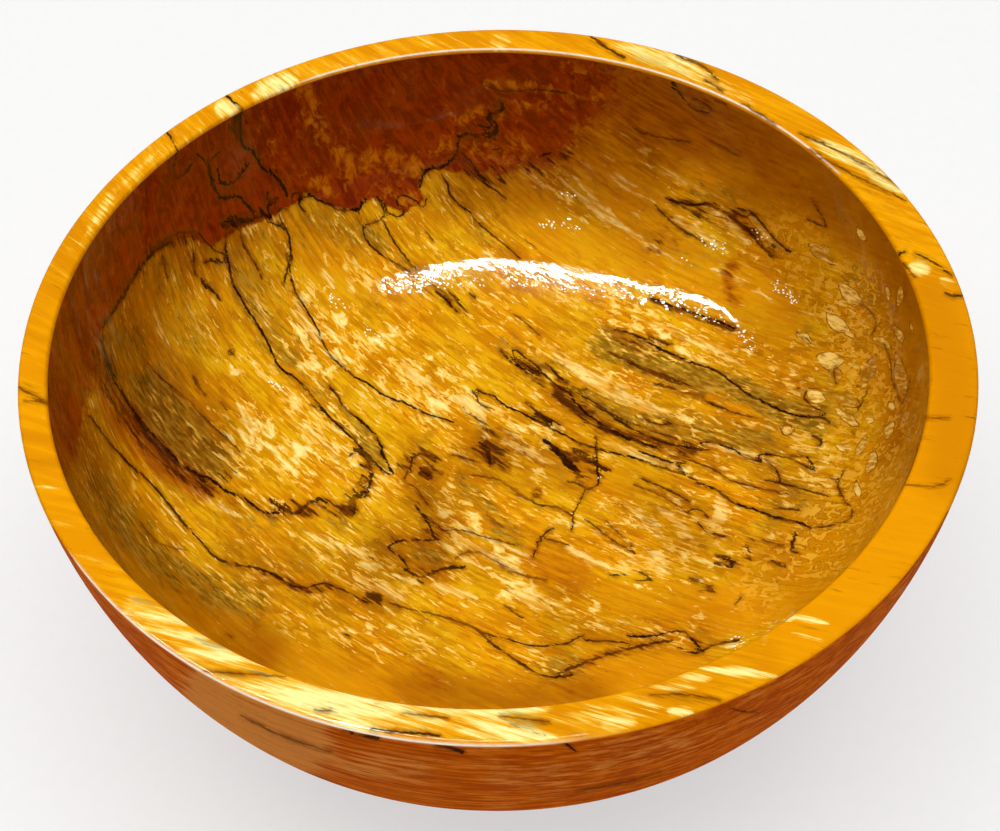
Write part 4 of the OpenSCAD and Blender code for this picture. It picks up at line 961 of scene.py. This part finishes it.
def sound_wood(w, ground, stain):
    """Pale flecks, islands and long streaks of sound wood between the stained fibres."""
    level = w.add(w.dash, w.about(w.cluster, 0.75), w.about(w.island, 0.45), w.times(w.pale, 0.09),
                  w.times(w.smooth, -0.24), w.times(stain, -0.04))
    cream = w.mix(w.step(level, 0.65, 0.78), srgb(244, 184, 52), srgb(254, 224, 124))
    ground = w.mix(w.times(w.step(level, 0.600, 0.650), 0.9), ground, cream)
    isle = w.add(w.times(w.pale, 0.60), w.about(w.island, 3.2), w.about(w.dash, 1.0), w.times(w.smooth, -0.5))
    cream = w.mix(w.step(isle, 0.56, 0.95), srgb(247, 194, 76), srgb(255, 236, 146))
    ground = w.mix(w.times(w.step(isle, 0.44, 0.60), 0.9), ground, cream)
    streaks = w.step(w.add(w.field("streaks"), w.about(w.dash, 2.2), w.about(w.fine, 0.4)), 0.25, 0.75)
    cream = w.mix(w.step(w.streak, 0.40, 0.60), srgb(236, 172, 52), srgb(255, 224, 132))
    return w.mix(w.times(streaks, 0.85), ground, cream)


def stained_wood(w, ground):
    """Reddish knots, and painted shade: broad brown darkening where the hollow lies in shade, in part darker wood."""
    knot = w.step(w.add(w.reddish, w.about(w.blotch, 1.6)), 0.15, 0.95)
    rust = w.mix(w.step(w.streak, 0.4, 0.6), srgb(168, 76, 2), srgb(206, 118, 4))
    ground = w.mix(w.times(knot, 0.75), ground, rust)
    # painted shade: the colour is multiplied towards brown where the shade field is strong
    painted_shade_mix = w.step(w.add(w.shade, w.about(w.patch, 0.9), w.about(w.cluster, 0.6)), -0.05, 1.10)
    return w.mix(painted_shade_mix, ground, w.mix(1.0, ground, srgb(190, 164, 120), "MULTIPLY"))


def heartwood(w, ground):
    """The dark red of the far and left walls, partly heartwood and partly painted shadow where the rim's shadow falls
    inside.
    """
    edge = w.along(3.6, 2.8, 4.0, 0.6, 0.8)
    heart_and_shadow = w.step(w.add(w.field("red"), w.about(edge, 0.9)), 0.34, 0.66)
    lump = w.along(6.0, 3.4, 5.0, 0.65, 0.9, shift=(3.0, 71.0, 9.0))
    ruddy = w.mix(w.step(w.add(lump, w.about(w.streak, 0.4)), 0.36, 0.64), srgb(114, 31, 0), srgb(150, 52, 1))
    ruddy = w.mix(w.times(w.step(w.fine, 0.5, 0.75), 0.3), ruddy, srgb(176, 80, 4))
    ochre = w.step(w.add(w.field("ochre"), w.about(edge, 2.0), w.about(lump, 1.4)), 0.25, 1.05)
    sandy = w.mix(w.step(edge, 0.35, 0.65), srgb(160, 78, 3), srgb(206, 124, 8))
    return w.mix(heart_and_shadow, ground, w.mix(w.times(ochre, 0.8), ruddy, sandy))


def rim_and_outside(w, ground):
    """The flat rim with its pale cross streaks, the redder outside, and a painted highlight between them: pale lines
    on the rounded edges where the lamp gleams.
    """
    band = w.along(20, 1.3, 4.0, 0.62, 0.2)
    thread = w.along(3.6, 0.36, 3.0, 0.6)
    hair = w.along(9.0, 0.55, 3.0, 0.6)
    rim = w.mix(w.step(w.add(band, w.about(w.cluster, 0.5)), 0.38, 0.62), srgb(224, 142, 0), srgb(240, 164, 2))
    rim = w.mix(w.times(w.step(thread, 0.52, 0.74), w.times(w.rough, 0.45)), rim, srgb(200, 120, 0))
    rim = w.mix(w.times(w.smooth, 0.8), rim, srgb(232, 150, 0))
    rim = w.mix(w.times(w.shade, 0.7), rim, srgb(196, 116, 0))
    wash = w.add(w.times(w.pale, 1.05), w.about(band, 1.2), w.about(hair, 1.8), w.about(thread, 0.9),
                 w.about(w.cluster, 0.8), w.times(w.smooth, -0.6))
    cream = w.mix(w.step(wash, 0.55, 1.15), srgb(248, 192, 58), srgb(255, 244, 158))
    rim = w.mix(w.times(w.step(wash, 0.30, 0.80), 0.95), rim, cream)
    drab = w.step(w.add(w.olive, w.about(hair, 1.6), w.about(thread, 1.2)), 0.25, 0.95)
    rim = w.mix(w.times(drab, 0.7), rim, srgb(130, 94, 2))
    ground = w.mix(w.field("rim"), ground, rim)

    side = w.mix(w.step(w.add(band, w.about(thread, 0.4)), 0.36, 0.64), srgb(182, 70, 0), srgb(224, 110, 3))
    side = w.mix(w.times(w.step(thread, 0.55, 0.75), 0.4), side, srgb(126, 42, 0))
    sandy = w.step(w.add(band, w.times(w.pale, 0.35), w.about(w.patch, 0.5)), 0.54, 0.84)
    side = w.mix(w.times(sandy, 0.7), side, srgb(232, 152, 66))
    ground = w.mix(w.field("outer"), ground, side)

    # painted highlight: the rounded edges turn near white
    painted_edge_gleam = w.times(w.field("painted_edge_gleam"), w.step(thread, 0.30, 0.50, 0.7, 1.0))
    return w.mix(painted_edge_gleam, ground, srgb(255, 250, 228))


def burnt_marks(w, ground):
    """Umber shade beside the lines."""
    smear = w.step(w.add(w.umber, w.about(w.blotch, 2.2), w.about(w.streak, 1.2)), 0.24, 1.00)
    return w.mix(w.times(smear, 0.94), ground, w.mix(w.step(smear, 0.45, 1.0), srgb(140, 66, 1), srgb(66, 22, 0)))


def lumps_and_chips(w, ground):
    """Pale chips and lumpy figure by the right wall, rimmed with brown."""
    quilt = w.along(3.0, 2.0, 3.0, 0.55, 0.9)
    lumpy = w.field("lump")
    ground = w.mix(w.times(w.times(lumpy, 0.75), w.step(quilt, 0.51, 0.57)), ground, srgb(238, 176, 46))
    brim = w.step(w.sum("ABSOLUTE", w.sum("SUBTRACT", quilt, 0.50)), 0.020, 0.0)
    ground = w.mix(w.times(w.times(lumpy, 0.55), brim), ground, srgb(120, 58, 1))
    chip = w.add(w.field("chip"), w.about(w.along(3.2, 2.2, 2.0, 0.5), 5.0))
    light = w.field("chip_tone")
    seam = w.times(w.step(chip, 1.9, 0.7), w.step(quilt, 0.42, 0.60, 0.0, 0.95))
    ground = w.mix(seam, ground, srgb(112, 52, 1))
    body = w.step(w.add(w.times(light, 0.6), w.about(w.island, 1.6), w.about(w.dash, 2.6)), -0.05, 0.85)
    body = w.mix(body, srgb(190, 126, 14), srgb(255, 214, 108))
    return w.mix(w.times(w.step(chip, 0.6, -0.5), w.step(light, 0.0, 0.6, 0.45, 1.0)), ground, body)


def zone_lines(w, ground):
    """The black lines of spalted wood, torn along the grain, and stray ones where the photograph doesn't look."""
    heading = w.node("ShaderNodeSeparateXYZ", {0: w.field("heading", "Vector")}).outputs
    line = w.node("ShaderNodeSeparateXYZ", {0: w.field("zone", "Vector")}).outputs
    gap, dark, half = w.field("zone_gap"), w.field("zone_tone"), line[2]
    tear = w.along(5.0, 0.85, 2.0, 0.5)
    weave = w.about(w.along(1.1, 0.9, 2.0, 0.5), 2.0)
    slack = w.times(w.sum("MINIMUM", half, 1.6), w.step(w.island, 0.42, 0.60, 0.25, 1.5))
    pull = w.times(w.about(tear, 7.0), slack)
    lx = w.add(line[0], w.times(heading[0], pull), w.times(heading[1], weave))
    ly = w.add(line[1], w.times(heading[1], pull), w.times(heading[0], w.times(weave, -1.0)))
    away = w.sum("SUBTRACT", w.length(lx, ly), w.times(half, w.step(tear, 0.25, 0.75, 0.55, 1.25)))
    # half way between two lines the offsets cancel, but the gap stays wide: nothing is drawn there
    guard = w.step(w.sum("SUBTRACT", w.add(gap, half), w.length(line[0], line[1])), 1.9, 1.35)
    core = w.times(w.step(away, 0.8, -0.3), guard)
    halo = w.times(w.step(gap, 4.5, 0.3), w.step(w.blotch, 0.42, 0.60, 0.15, 1.0))
    ground = w.mix(w.times(halo, 0.6), ground, srgb(122, 58, 1))
    ink = w.mix(w.step(w.add(dark, w.about(w.patch, 1.2)), 0.35, 1.05), srgb(104, 40, 1), srgb(34, 12, 1))
    there = w.step(w.add(w.patch, w.about(w.cluster, 0.8)), 0.28, 0.52, 0.68, 1.0)
    ground = w.mix(w.times(w.times(core, there), w.add(w.times(dark, 0.62), 0.36)), ground, ink)

    wild = w.along(26, 9, 5.0, 0.6, 0.7)
    stray = w.step(w.sum("ABSOLUTE", w.sum("SUBTRACT", wild, 0.5)), 0.006, 0.001)
    return w.mix(w.times(w.times(stray, w.field("wild")), 0.85), ground, srgb(34, 14, 2))


def lacquer(w, ground, coat):
    """Pores under a gloss coat that isn't quite flat, with painted glints (bright specks painted into the colour) and
    small facets that catch the lamp.
    """
    cells = w.vec("MULTIPLY", w.grain, (1 / 0.75, 1 / 0.5, 1 / 0.5))
    facet = w.node("ShaderNodeTexVoronoi", {"Vector": cells, "Scale": 1.0}).outputs
    chance = w.node("ShaderNodeSeparateXYZ", {0: facet["Color"]}).outputs[1]
    # painted glints: some facets are painted near white where glints are laid out
    lit = w.step(w.add(chance, w.times(w.field("glint_paint"), 0.55)), 1.02, 1.08)
    glint_specks = w.times(lit, w.step(facet["Distance"], 0.55, 0.35))
    ground = w.mix(glint_specks, ground, (1.0, 0.98, 0.66, 1.0))
    pores = w.bump(w.add(w.fine, w.times(w.dash, 0.6)), 0.00002)
    swell = w.along(6.0, 2.4, 2.0, 0.5)
    ragged = w.along(1.7, 1.1, 1.0, 0.5)
    grit = w.step(w.along(1.0, 0.36, 2.0, 0.6), 0.58, 0.74)
    tilt = w.node(
        "ShaderNodeVectorMath",
        {0: w.vec("SUBTRACT", facet["Color"], (0.5, 0.5, 0.5)), "Scale": w.times(w.field("spark"), 0.06)},
        operation="SCALE",
    ).outputs[0]
    facing = w.vec("NORMALIZE", w.vec("ADD", w.node("ShaderNodeNewGeometry").outputs["Normal"], tilt))
    waves = w.add(w.times(swell, 0.8), w.times(ragged, 0.28), w.times(grit, 0.07))
    w.set(Base_Color=ground, Roughness=w.step(w.fine, 0.3, 0.7, 0.42, 0.55), IOR=1.5, Normal=pores)
    w.set(Specular_IOR_Level=0.0, Coat_Weight=coat, Coat_Roughness=0.03, Coat_IOR=1.33)
    w.set(Coat_Normal=w.bump(waves, 0.000017, facing))


def spalted_wood(name, coat):
    """All the layers from the ground up, under as much lacquer as coat says."""
    w = Wood(name)
    ground, stain = amber_ground(w)
    ground = sound_wood(w, ground, stain)
    for layer in (stained_wood, heartwood, rim_and_outside, burnt_marks, lumps_and_chips, zone_lines):
        ground = layer(w, ground)
    lacquer(w, ground, coat)
    return w.mat


def stand_wood():
    f = Finish("stand_wood")
    where = f.node("ShaderNodeTexCoord").outputs["Object"]
    warp = f.noise(where, (18, 18, 60), 2.0, 0.5)
    streak = f.noise(where, (90, 900, 900), 4.0, 0.6, 0.3)
    fine = f.noise(where, (420, 3600, 3600), 2.0, 0.6)
    wood = f.mix(f.step(streak, 0.35, 0.65), srgb(84, 42, 16), srgb(132, 74, 34))
    wood = f.mix(f.times(f.step(warp, 0.4, 0.7), 0.5), wood, srgb(104, 50, 20))
    wood = f.mix(f.times(f.step(fine, 0.58, 0.72), 0.6), wood, srgb(48, 22, 8))
    f.set(Base_Color=wood, Roughness=f.step(fine, 0.3, 0.7, 0.34, 0.5), Normal=f.bump(fine, 0.00003))
    f.set(Coat_Weight=0.5, Coat_Roughness=0.2)
    return f.mat


def metal(name, light, dark, rough, turned):
    f = Finish(name)
    where = f.node("ShaderNodeTexCoord").outputs["Object"]
    if turned:
        parts = f.node("ShaderNodeSeparateXYZ", {0: where}).outputs
        line = f.node("ShaderNodeCombineXYZ", {0: f.length(parts[0], parts[1]), 2: parts[2]}).outputs[0]
        mark = f.noise(line, (9000, 1, 9000), 2.0, 0.6)
    else:
        mark = f.noise(where, (2600, 2600, 2600), 3.0, 0.6)
    cloud = f.noise(where, (160, 160, 160), 3.0, 0.6)
    tone = f.mix(f.step(cloud, 0.35, 0.7), light, dark)
    f.set(Base_Color=tone, Metallic=1.0, Roughness=f.step(mark, 0.25, 0.75, rough * 0.75, rough * 1.3))
    f.set(Normal=f.bump(mark, 0.000004))
    return f.mat


def moulded(name, light, dark, rough, grain_size):
    f = Finish(name)
    where = f.node("ShaderNodeTexCoord").outputs["Object"]
    speck = f.noise(where, (grain_size,) * 3, 4.0, 0.65)
    cloud = f.noise(where, (120, 120, 120), 3.0, 0.6)
    f.set(Base_Color=f.mix(f.step(cloud, 0.3, 0.7), light, dark), Normal=f.bump(speck, 0.00002))
    f.set(Roughness=f.step(speck, 0.3, 0.7, rough * 0.85, rough))
    return f.mat


# ---------------------------------------------------------------- the bowl
INSIDE_STROKES = {
    "pale": PALE, "olive": OLIVE, "umber": UMBER, "reddish": REDDISH, "smooth": SMOOTH, "ochre": OCHRE,
    "lump": LUMPS, "shade": PAINTED_SHADE, "spark": SPARKS, "glint_paint": PAINTED_GLINTS,
}
INSIDE_SEED = 5
RIM_SEED = 8
WALL_SEED = 11
SHARP_DEG = 42
TINY = 0.02


def fill_mesh(name, points, quads, fan):
    """A smooth mesh from arrays of points, quads and triangles."""
    mesh = bpy.data.meshes.new(name)
    mesh.vertices.add(len(points))
    mesh.vertices.foreach_set("co", points.astype(np.float32).ravel())
    mesh.loops.add(quads.size + fan.size)
    mesh.loops.foreach_set("vertex_index", np.concatenate([quads.ravel(), fan.ravel()]).astype(np.int32))
    mesh.polygons.add(len(quads) + len(fan))
    starts = np.concatenate([np.arange(len(quads)) * 4, quads.size + np.arange(len(fan)) * 3])
    mesh.polygons.foreach_set("loop_start", starts.astype(np.int32))
    mesh.polygons.foreach_set("use_smooth", np.ones(len(quads) + len(fan), bool))
    mesh.update(calc_edges=True)
    mesh.validate()
    mesh.set_sharp_from_angle(angle=math.radians(SHARP_DEG))
    return mesh


def split_rim(points, part):
    """Masks of the rim, the inside, the outside and the rim's rounded edges, and degrees round these edges."""
    fall = np.degrees(np.arccos(np.clip(1 + (points[:, 2] * 1000 - RIM_Z) / EDGE, -1, 1)))
    own = np.hypot(points[:, 0] * 1000 + SHIFT, points[:, 1] * 1000)
    middle = np.hypot(points[:, 0], points[:, 1]) * 1000
    inner_edge = (part == 0) & (own > RIM_R - RIM_W - TINY)
    outer_edge = (part == 2) & (middle > RIM_R - EDGE - TINY)
    rounded = (inner_edge | outer_edge) & (fall < 89)
    rim = (part == 1) | (rounded & (fall < np.where(points[:, 1] < -0.05, 62, 88)))
    return rim, (part == 0) & ~rim, (part == 2) & ~rim, rounded, fall


def blank_fields(n):
    """What the wood's material reads at each point, before anything is laid out."""
    fields = {k: np.zeros(n) for k in (*INSIDE_STROKES, "streaks", "red", "wild", "zone_tone", "chip_tone")}
    fields["zone"], fields["zone_gap"] = np.tile([FAR, 0.0, 0.0], (n, 1)), np.full(n, FAR)
    fields["chip"] = np.full(n, CHIP_FAR)
    fields["grain"], fields["heading"] = np.zeros((n, 3)), np.tile([1.0, 0.1, 0.0], (n, 1))
    return fields


def put_lines(fields, k, board, lines, seed):
    fields["zone"][k], fields["zone_gap"][k], fields["zone_tone"][k] = draw_lines(board, lines, seed)


def ring_line(x, y, r):
    """A small knot as a closed zone line."""
    turns = [math.radians(a) for a in range(0, 361, 45)]
    return 0.7, 0.55, [v for a in turns for v in (x + r * math.cos(a), y + r * math.sin(a))]


def lay_out_inside(fields, k, points, px, py, flat):
    board = Board(px[k], py[k])
    put_lines(fields, k, board, INSIDE_LINES + [ring_line(*ring) for ring in RINGS], INSIDE_SEED)
    fields["heading"][k] = grain_heading(board, INSIDE_GRAIN)
    # the dark red, partly heartwood and partly painted shadow, has a border that is sharp at the upper left and fades
    # out to the right and down the left wall
    blur = 9 + 22 * np.clip((px[k] - 450) / 50, 0, 1) + 16 * np.clip((py[k] - 320) / 40, 0, 1)
    fields["red"][k] = area(board, DARK_RED_AND_SHADOW, blur) * np.clip((720 - px[k]) / 200, 0, 1)
    for name, strokes in INSIDE_STROKES.items():
        fields[name][k] = brush(board, strokes)
    fields["streaks"][k] = brush(board, STREAKS, taper=True)
    fields["chip"][k], fields["chip_tone"][k] = ovals(board, CHIPS)
    radius = np.hypot(points[k, 0] + SHIFT * 0.001, points[k, 1])
    toward = points[k, 1] / np.maximum(radius, 1e-6)
    shown = (radius < 0.07) | (toward > -0.5)
    along, across = grain_flow(flat[k], px[k], py[k], shown, INSIDE_GRAIN, degree=6, spread=22)
    fields["grain"][k] = np.stack([along, across, np.zeros(len(k))], -1)
    # the near wall is hidden from the photograph's camera, so stray lines take the place of those laid out
    hidden = np.clip((radius - 0.078) / 0.008, 0, 1) * np.clip((-0.35 - toward) / 0.25, 0, 1)
    fields["wild"][k] = hidden
    fields["zone_gap"][k] += hidden * FAR


def lay_out_rim(fields, k, points, px, py):
    board = Board(px[k], py[k])
    put_lines(fields, k, board, RIM_LINES, RIM_SEED)
    fields["heading"][k] = grain_heading(board, RIM_GRAIN)
    fields["pale"][k] = np.maximum(brush(board, RIM_WASH), brush(board, RIM_PALE, taper=True))
    fields["shade"][k] = brush(board, RIM_SHADE)
    fields["olive"][k] = brush(board, RIM_OLIVE, taper=True)
    fields["smooth"][k] = brush(board, RIM_SMOOTH)
    shown = np.ones(len(k), bool)
    along, across = grain_flow(points[k, :2] * 1000, px[k], py[k], shown, RIM_GRAIN, degree=5, spread=30)
    # the third coordinate sets the rim's noise apart from the inside's
    fields["grain"][k] = np.stack([along, across, np.full(len(k), 300.0)], -1)


def lay_out_outside(fields, k, points, px, py):
    """Grain as flat boards cut across by the wall; lines only on the side that the photograph shows."""
    x, y, z = points[k].T * 1000
    near = np.clip((-y - 20) / 30, 0, 1)
    board = Board(np.where(near > 0, px[k], -500), py[k])
    put_lines(fields, k, board, WALL_LINES, WALL_SEED)
    fields["pale"][k] = brush(board, WALL_PALE)
    fields["grain"][k] = np.stack([0.95 * x - 0.31 * y, (0.31 * x + 0.95 * y) * 0.35 + 500, z + 0.04 * x], -1)
    fields["wild"][k] = 0.25 + 0.75 * (1 - near)


def build_bowl():
    """The bowl's own mesh, laid out with fields, in the place of the CAD bowl."""
    points, quads, fan, part, flat = bowl_mesh()
    px, py = in_photo(points)
    rim, inside, outer, rounded, fall = split_rim(points, part)
    fields = blank_fields(len(points))
    lay_out_inside(fields, np.flatnonzero(inside), points, px, py, flat)
    lay_out_rim(fields, np.flatnonzero(rim), points, px, py)
    lay_out_outside(fields, np.flatnonzero(outer), points, px, py)
    # painted highlight: the two rounded edges of the rim are painted pale where they gleam in the lamp's light, in
    # place of the gleam itself
    edge_highlight = brush(Board(px, py), PAINTED_EDGE_HIGHLIGHT, taper=True)
    fields["painted_edge_gleam"] = edge_highlight * rounded * np.clip(1.25 - abs(fall - 45) / 15, 0, 1)
    fields["rim"], fields["outer"] = rim.astype(float), outer.astype(float)

    mesh = fill_mesh("spalted_bowl", points, quads, fan)
    for name, values in fields.items():
        kind, slot = ("FLOAT_VECTOR", "vector") if values.ndim == 2 else ("FLOAT", "value")
        item = mesh.attributes.new(name, kind, "POINT")
        item.data.foreach_set(slot, values.astype(np.float32).ravel())
    mesh.materials.append(spalted_wood("spalted_wood", coat=1.0))
    mesh.materials.append(spalted_wood("spalted_wood_outside", coat=0.04))
    thin = (part == 2) | rounded
    thin_face = np.concatenate([thin[quads].sum(axis=1) > 2, np.ones(len(fan), bool)])
    mesh.polygons.foreach_set("material_index", thin_face.astype(np.int32))
    bowl = link("spalted_bowl", mesh)
    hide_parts("bowl")
    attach(bowl, "bowl_body")


# ---------------------------------------------------------------- floor, lights and world
FLOOR_R = 3.0
CURVE_R = 0.8
WALL_TOP = 1.1
FLOOR_SIDES = 96


def pale_paper():
    f = Finish("pale_paper")
    where = f.node("ShaderNodeTexCoord").outputs["Object"]
    speck = f.noise(where, (300, 300, 300), 3.0, 0.6)
    f.set(Base_Color=f.mix(speck, srgb(228, 228, 226), srgb(238, 238, 237)), Roughness=0.9, Specular_IOR_Level=0.1)
    f.set(Normal=f.bump(speck, 0.00003))
    seen = f.node("ShaderNodeLightPath").outputs["Is Camera Ray"]
    both = f.node("ShaderNodeMixShader", {0: f.times(seen, 0.6)})
    f.tree.links.new(f.shader.outputs[0], both.inputs[1])
    f.tree.links.new(f.glow(1.0).outputs[0], both.inputs[2])
    f.surface(both)
    return f.mat


def add_floor():
    """A round floor that curves up into a low wall, far from the bowl."""
    bend = np.radians(np.arange(15, 91, 15))
    r = np.concatenate([[0.0], np.linspace(0.3, FLOOR_R, 10), FLOOR_R + CURVE_R * np.sin(bend), [FLOOR_R + CURVE_R]])
    z = np.concatenate([np.zeros(11), CURVE_R - CURVE_R * np.cos(bend), [WALL_TOP]])
    turn = np.linspace(0, 2 * math.pi, FLOOR_SIDES, endpoint=False)
    co = [(0, 0, 0)] + [(a * math.cos(t), a * math.sin(t), b) for a, b in zip(r[1:], z[1:]) for t in turn]
    sides = [(j, (j + 1) % FLOOR_SIDES) for j in range(FLOOR_SIDES)]
    faces = [(0, 1 + j, 1 + n) for j, n in sides]
    for u in range(1, len(co) - FLOOR_SIDES, FLOOR_SIDES):
        v = u + FLOOR_SIDES
        faces += [(u + j, v + j, v + n, u + n) for j, n in sides]
    mesh = bpy.data.meshes.new("floor")
    mesh.from_pydata(co, [], faces)
    mesh.polygons.foreach_set("use_smooth", np.ones(len(faces), bool))
    mesh.materials.append(pale_paper())
    link("floor", mesh)


def aim_area(name, place, across, toward, size, power):
    """A rectangular lamp at a place, its long side along across, facing toward."""
    z = (Vector(place) - Vector(toward)).normalized()
    x = (Vector(across) - z * z.dot(Vector(across))).normalized()
    y = z.cross(x)
    data = bpy.data.lights.new(name, "AREA")
    data.shape = "RECTANGLE"
    data.size, data.size_y = size
    data.energy = power
    lamp = link(name, data)
    lamp.matrix_world = Matrix.Translation(place) @ Matrix([[x[i], y[i], z[i]] for i in range(3)]).to_4x4()
    lamp.visible_camera = False
    return lamp


# The long lamp that the lacquer mirrors: its two edges as slopes (x, y per metre up) seen from the bowl's floor,
# its height above that floor and the floor's own height, in metres. LAMP is the stretch whose edges share x.
LAMP = [
    (0.071, 0.440, 0.446), (0.062, 0.436, 0.445), (0.047, 0.430, 0.440), (0.032, 0.417, 0.424), (0.016, 0.410, 0.415),
    (0.001, 0.400, 0.412), (-0.015, 0.404, 0.412), (-0.030, 0.412, 0.424), (-0.045, 0.418, 0.432),
    (-0.060, 0.426, 0.437), (-0.076, 0.432, 0.440), (-0.091, 0.440, 0.448),
]
LAMP_END = [
    (-0.128, 0.397, -0.106, 0.450), (-0.165, 0.384, -0.139, 0.436), (-0.235, 0.332, -0.199, 0.386),
    (-0.345, 0.258, -0.305, 0.306), (-0.445, 0.238, -0.393, 0.288), (-0.555, 0.244, -0.512, 0.278),
    (-0.580, 0.316, -0.563, 0.327),
]
LAMP_UP = 2.9
LAMP_GLOW = 150.0
LAMP_FROM = 0.04
# Which way two small lamps are that make single glints, how far away they are and how wide, in metres
GLINTS = [(-0.27, -0.376, 0.886), (-0.81, -0.288, 0.511)]
GLINT_AWAY = 3.0
GLINT_SIDE = 0.03
WORLD_LIGHT = 0.07


def add_ribbon_lamp():
    edges = [(x, y, x, v) for x, y, v in LAMP] + LAMP_END
    co = [(x * LAMP_UP, y * LAMP_UP, LAMP_UP + LAMP_FROM) for a in edges for x, y in (a[:2], a[2:])]
    faces = [(2 * i, 2 * i + 1, 2 * i + 3, 2 * i + 2) for i in range(len(edges) - 1)]
    mesh = bpy.data.meshes.new("ribbon_lamp")
    mesh.from_pydata(co, [], faces)
    f = Finish("lamp_glow")
    f.surface(f.glow(LAMP_GLOW))
    mesh.materials.append(f.mat)
    lamp = link("ribbon_lamp", mesh)
    for kind in ("camera", "diffuse", "transmission", "volume_scatter", "shadow"):
        setattr(lamp, "visible_" + kind, False)


def add_lights():
    soft = aim_area("overhead", (-0.1, 0.0, 1.6), across=(1, 0, 0), toward=(0, 0, 0.05), size=(2.0, 1.5), power=36.0)
    soft.visible_glossy = False
    add_ribbon_lamp()
    for i, toward in enumerate(GLINTS):
        spot = GLINT_AWAY * Vector(toward) + Vector((0, 0, LAMP_FROM))
        power = LAMP_GLOW * math.pi * GLINT_SIDE**2
        glint = aim_area(f"glint_{i}", spot, (1, 0, 0), (0, 0.02, LAMP_FROM), (GLINT_SIDE, GLINT_SIDE), power)
        glint.visible_diffuse = False


def add_world():
    world = bpy.data.worlds.new("studio")
    bpy.context.scene.world = world
    world.use_nodes = True
    back = next(n for n in world.node_tree.nodes if n.type == "BACKGROUND")
    back.inputs["Color"].default_value = (1, 1, 1, 1)
    back.inputs["Strength"].default_value = WORLD_LIGHT


# ---------------------------------------------------------------- putting it together
add_camera()
build_bowl()
STEEL = metal("turned_steel", srgb(206, 207, 210), srgb(176, 177, 182), 0.28, True)
SCREW = metal("screw_steel", srgb(214, 214, 218), srgb(178, 180, 190), 0.30, False)
RACE = metal("bearing_steel", srgb(226, 228, 230), srgb(206, 208, 212), 0.12, True)
SHIELD = metal("shield_steel", srgb(210, 210, 212), srgb(188, 188, 192), 0.26, True)
SPRING = metal("spring_steel", srgb(74, 71, 68), srgb(46, 44, 42), 0.42, False)
NYLON = moulded("cage_plastic", srgb(222, 208, 168), srgb(208, 192, 148), 0.5, 2400)
RUBBER = moulded("foot_rubber", srgb(40, 40, 41), srgb(28, 28, 29), 0.85, 1800)
DRESS = {
    "stand": stand_wood(), "spindle": STEEL, "shim_washer": STEEL, "bearing_cover": STEEL, "flange_screws": SCREW,
    "cover_screws": SCREW, "foot_screws": SCREW, "bearing_inner_ring": RACE, "bearing_outer_ring": RACE,
    "bearing_balls": RACE, "upper_shield": SHIELD, "lower_shield": SHIELD, "retaining_ring": SPRING,
    "bearing_cage": NYLON, "rubber_feet": RUBBER,
}
for node, finish in DRESS.items():
    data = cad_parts[node].data
    data.materials.clear()
    data.materials.append(finish)
add_floor()
add_lights()
add_world()
bpy.context.scene.view_settings.view_transform = "Standard"
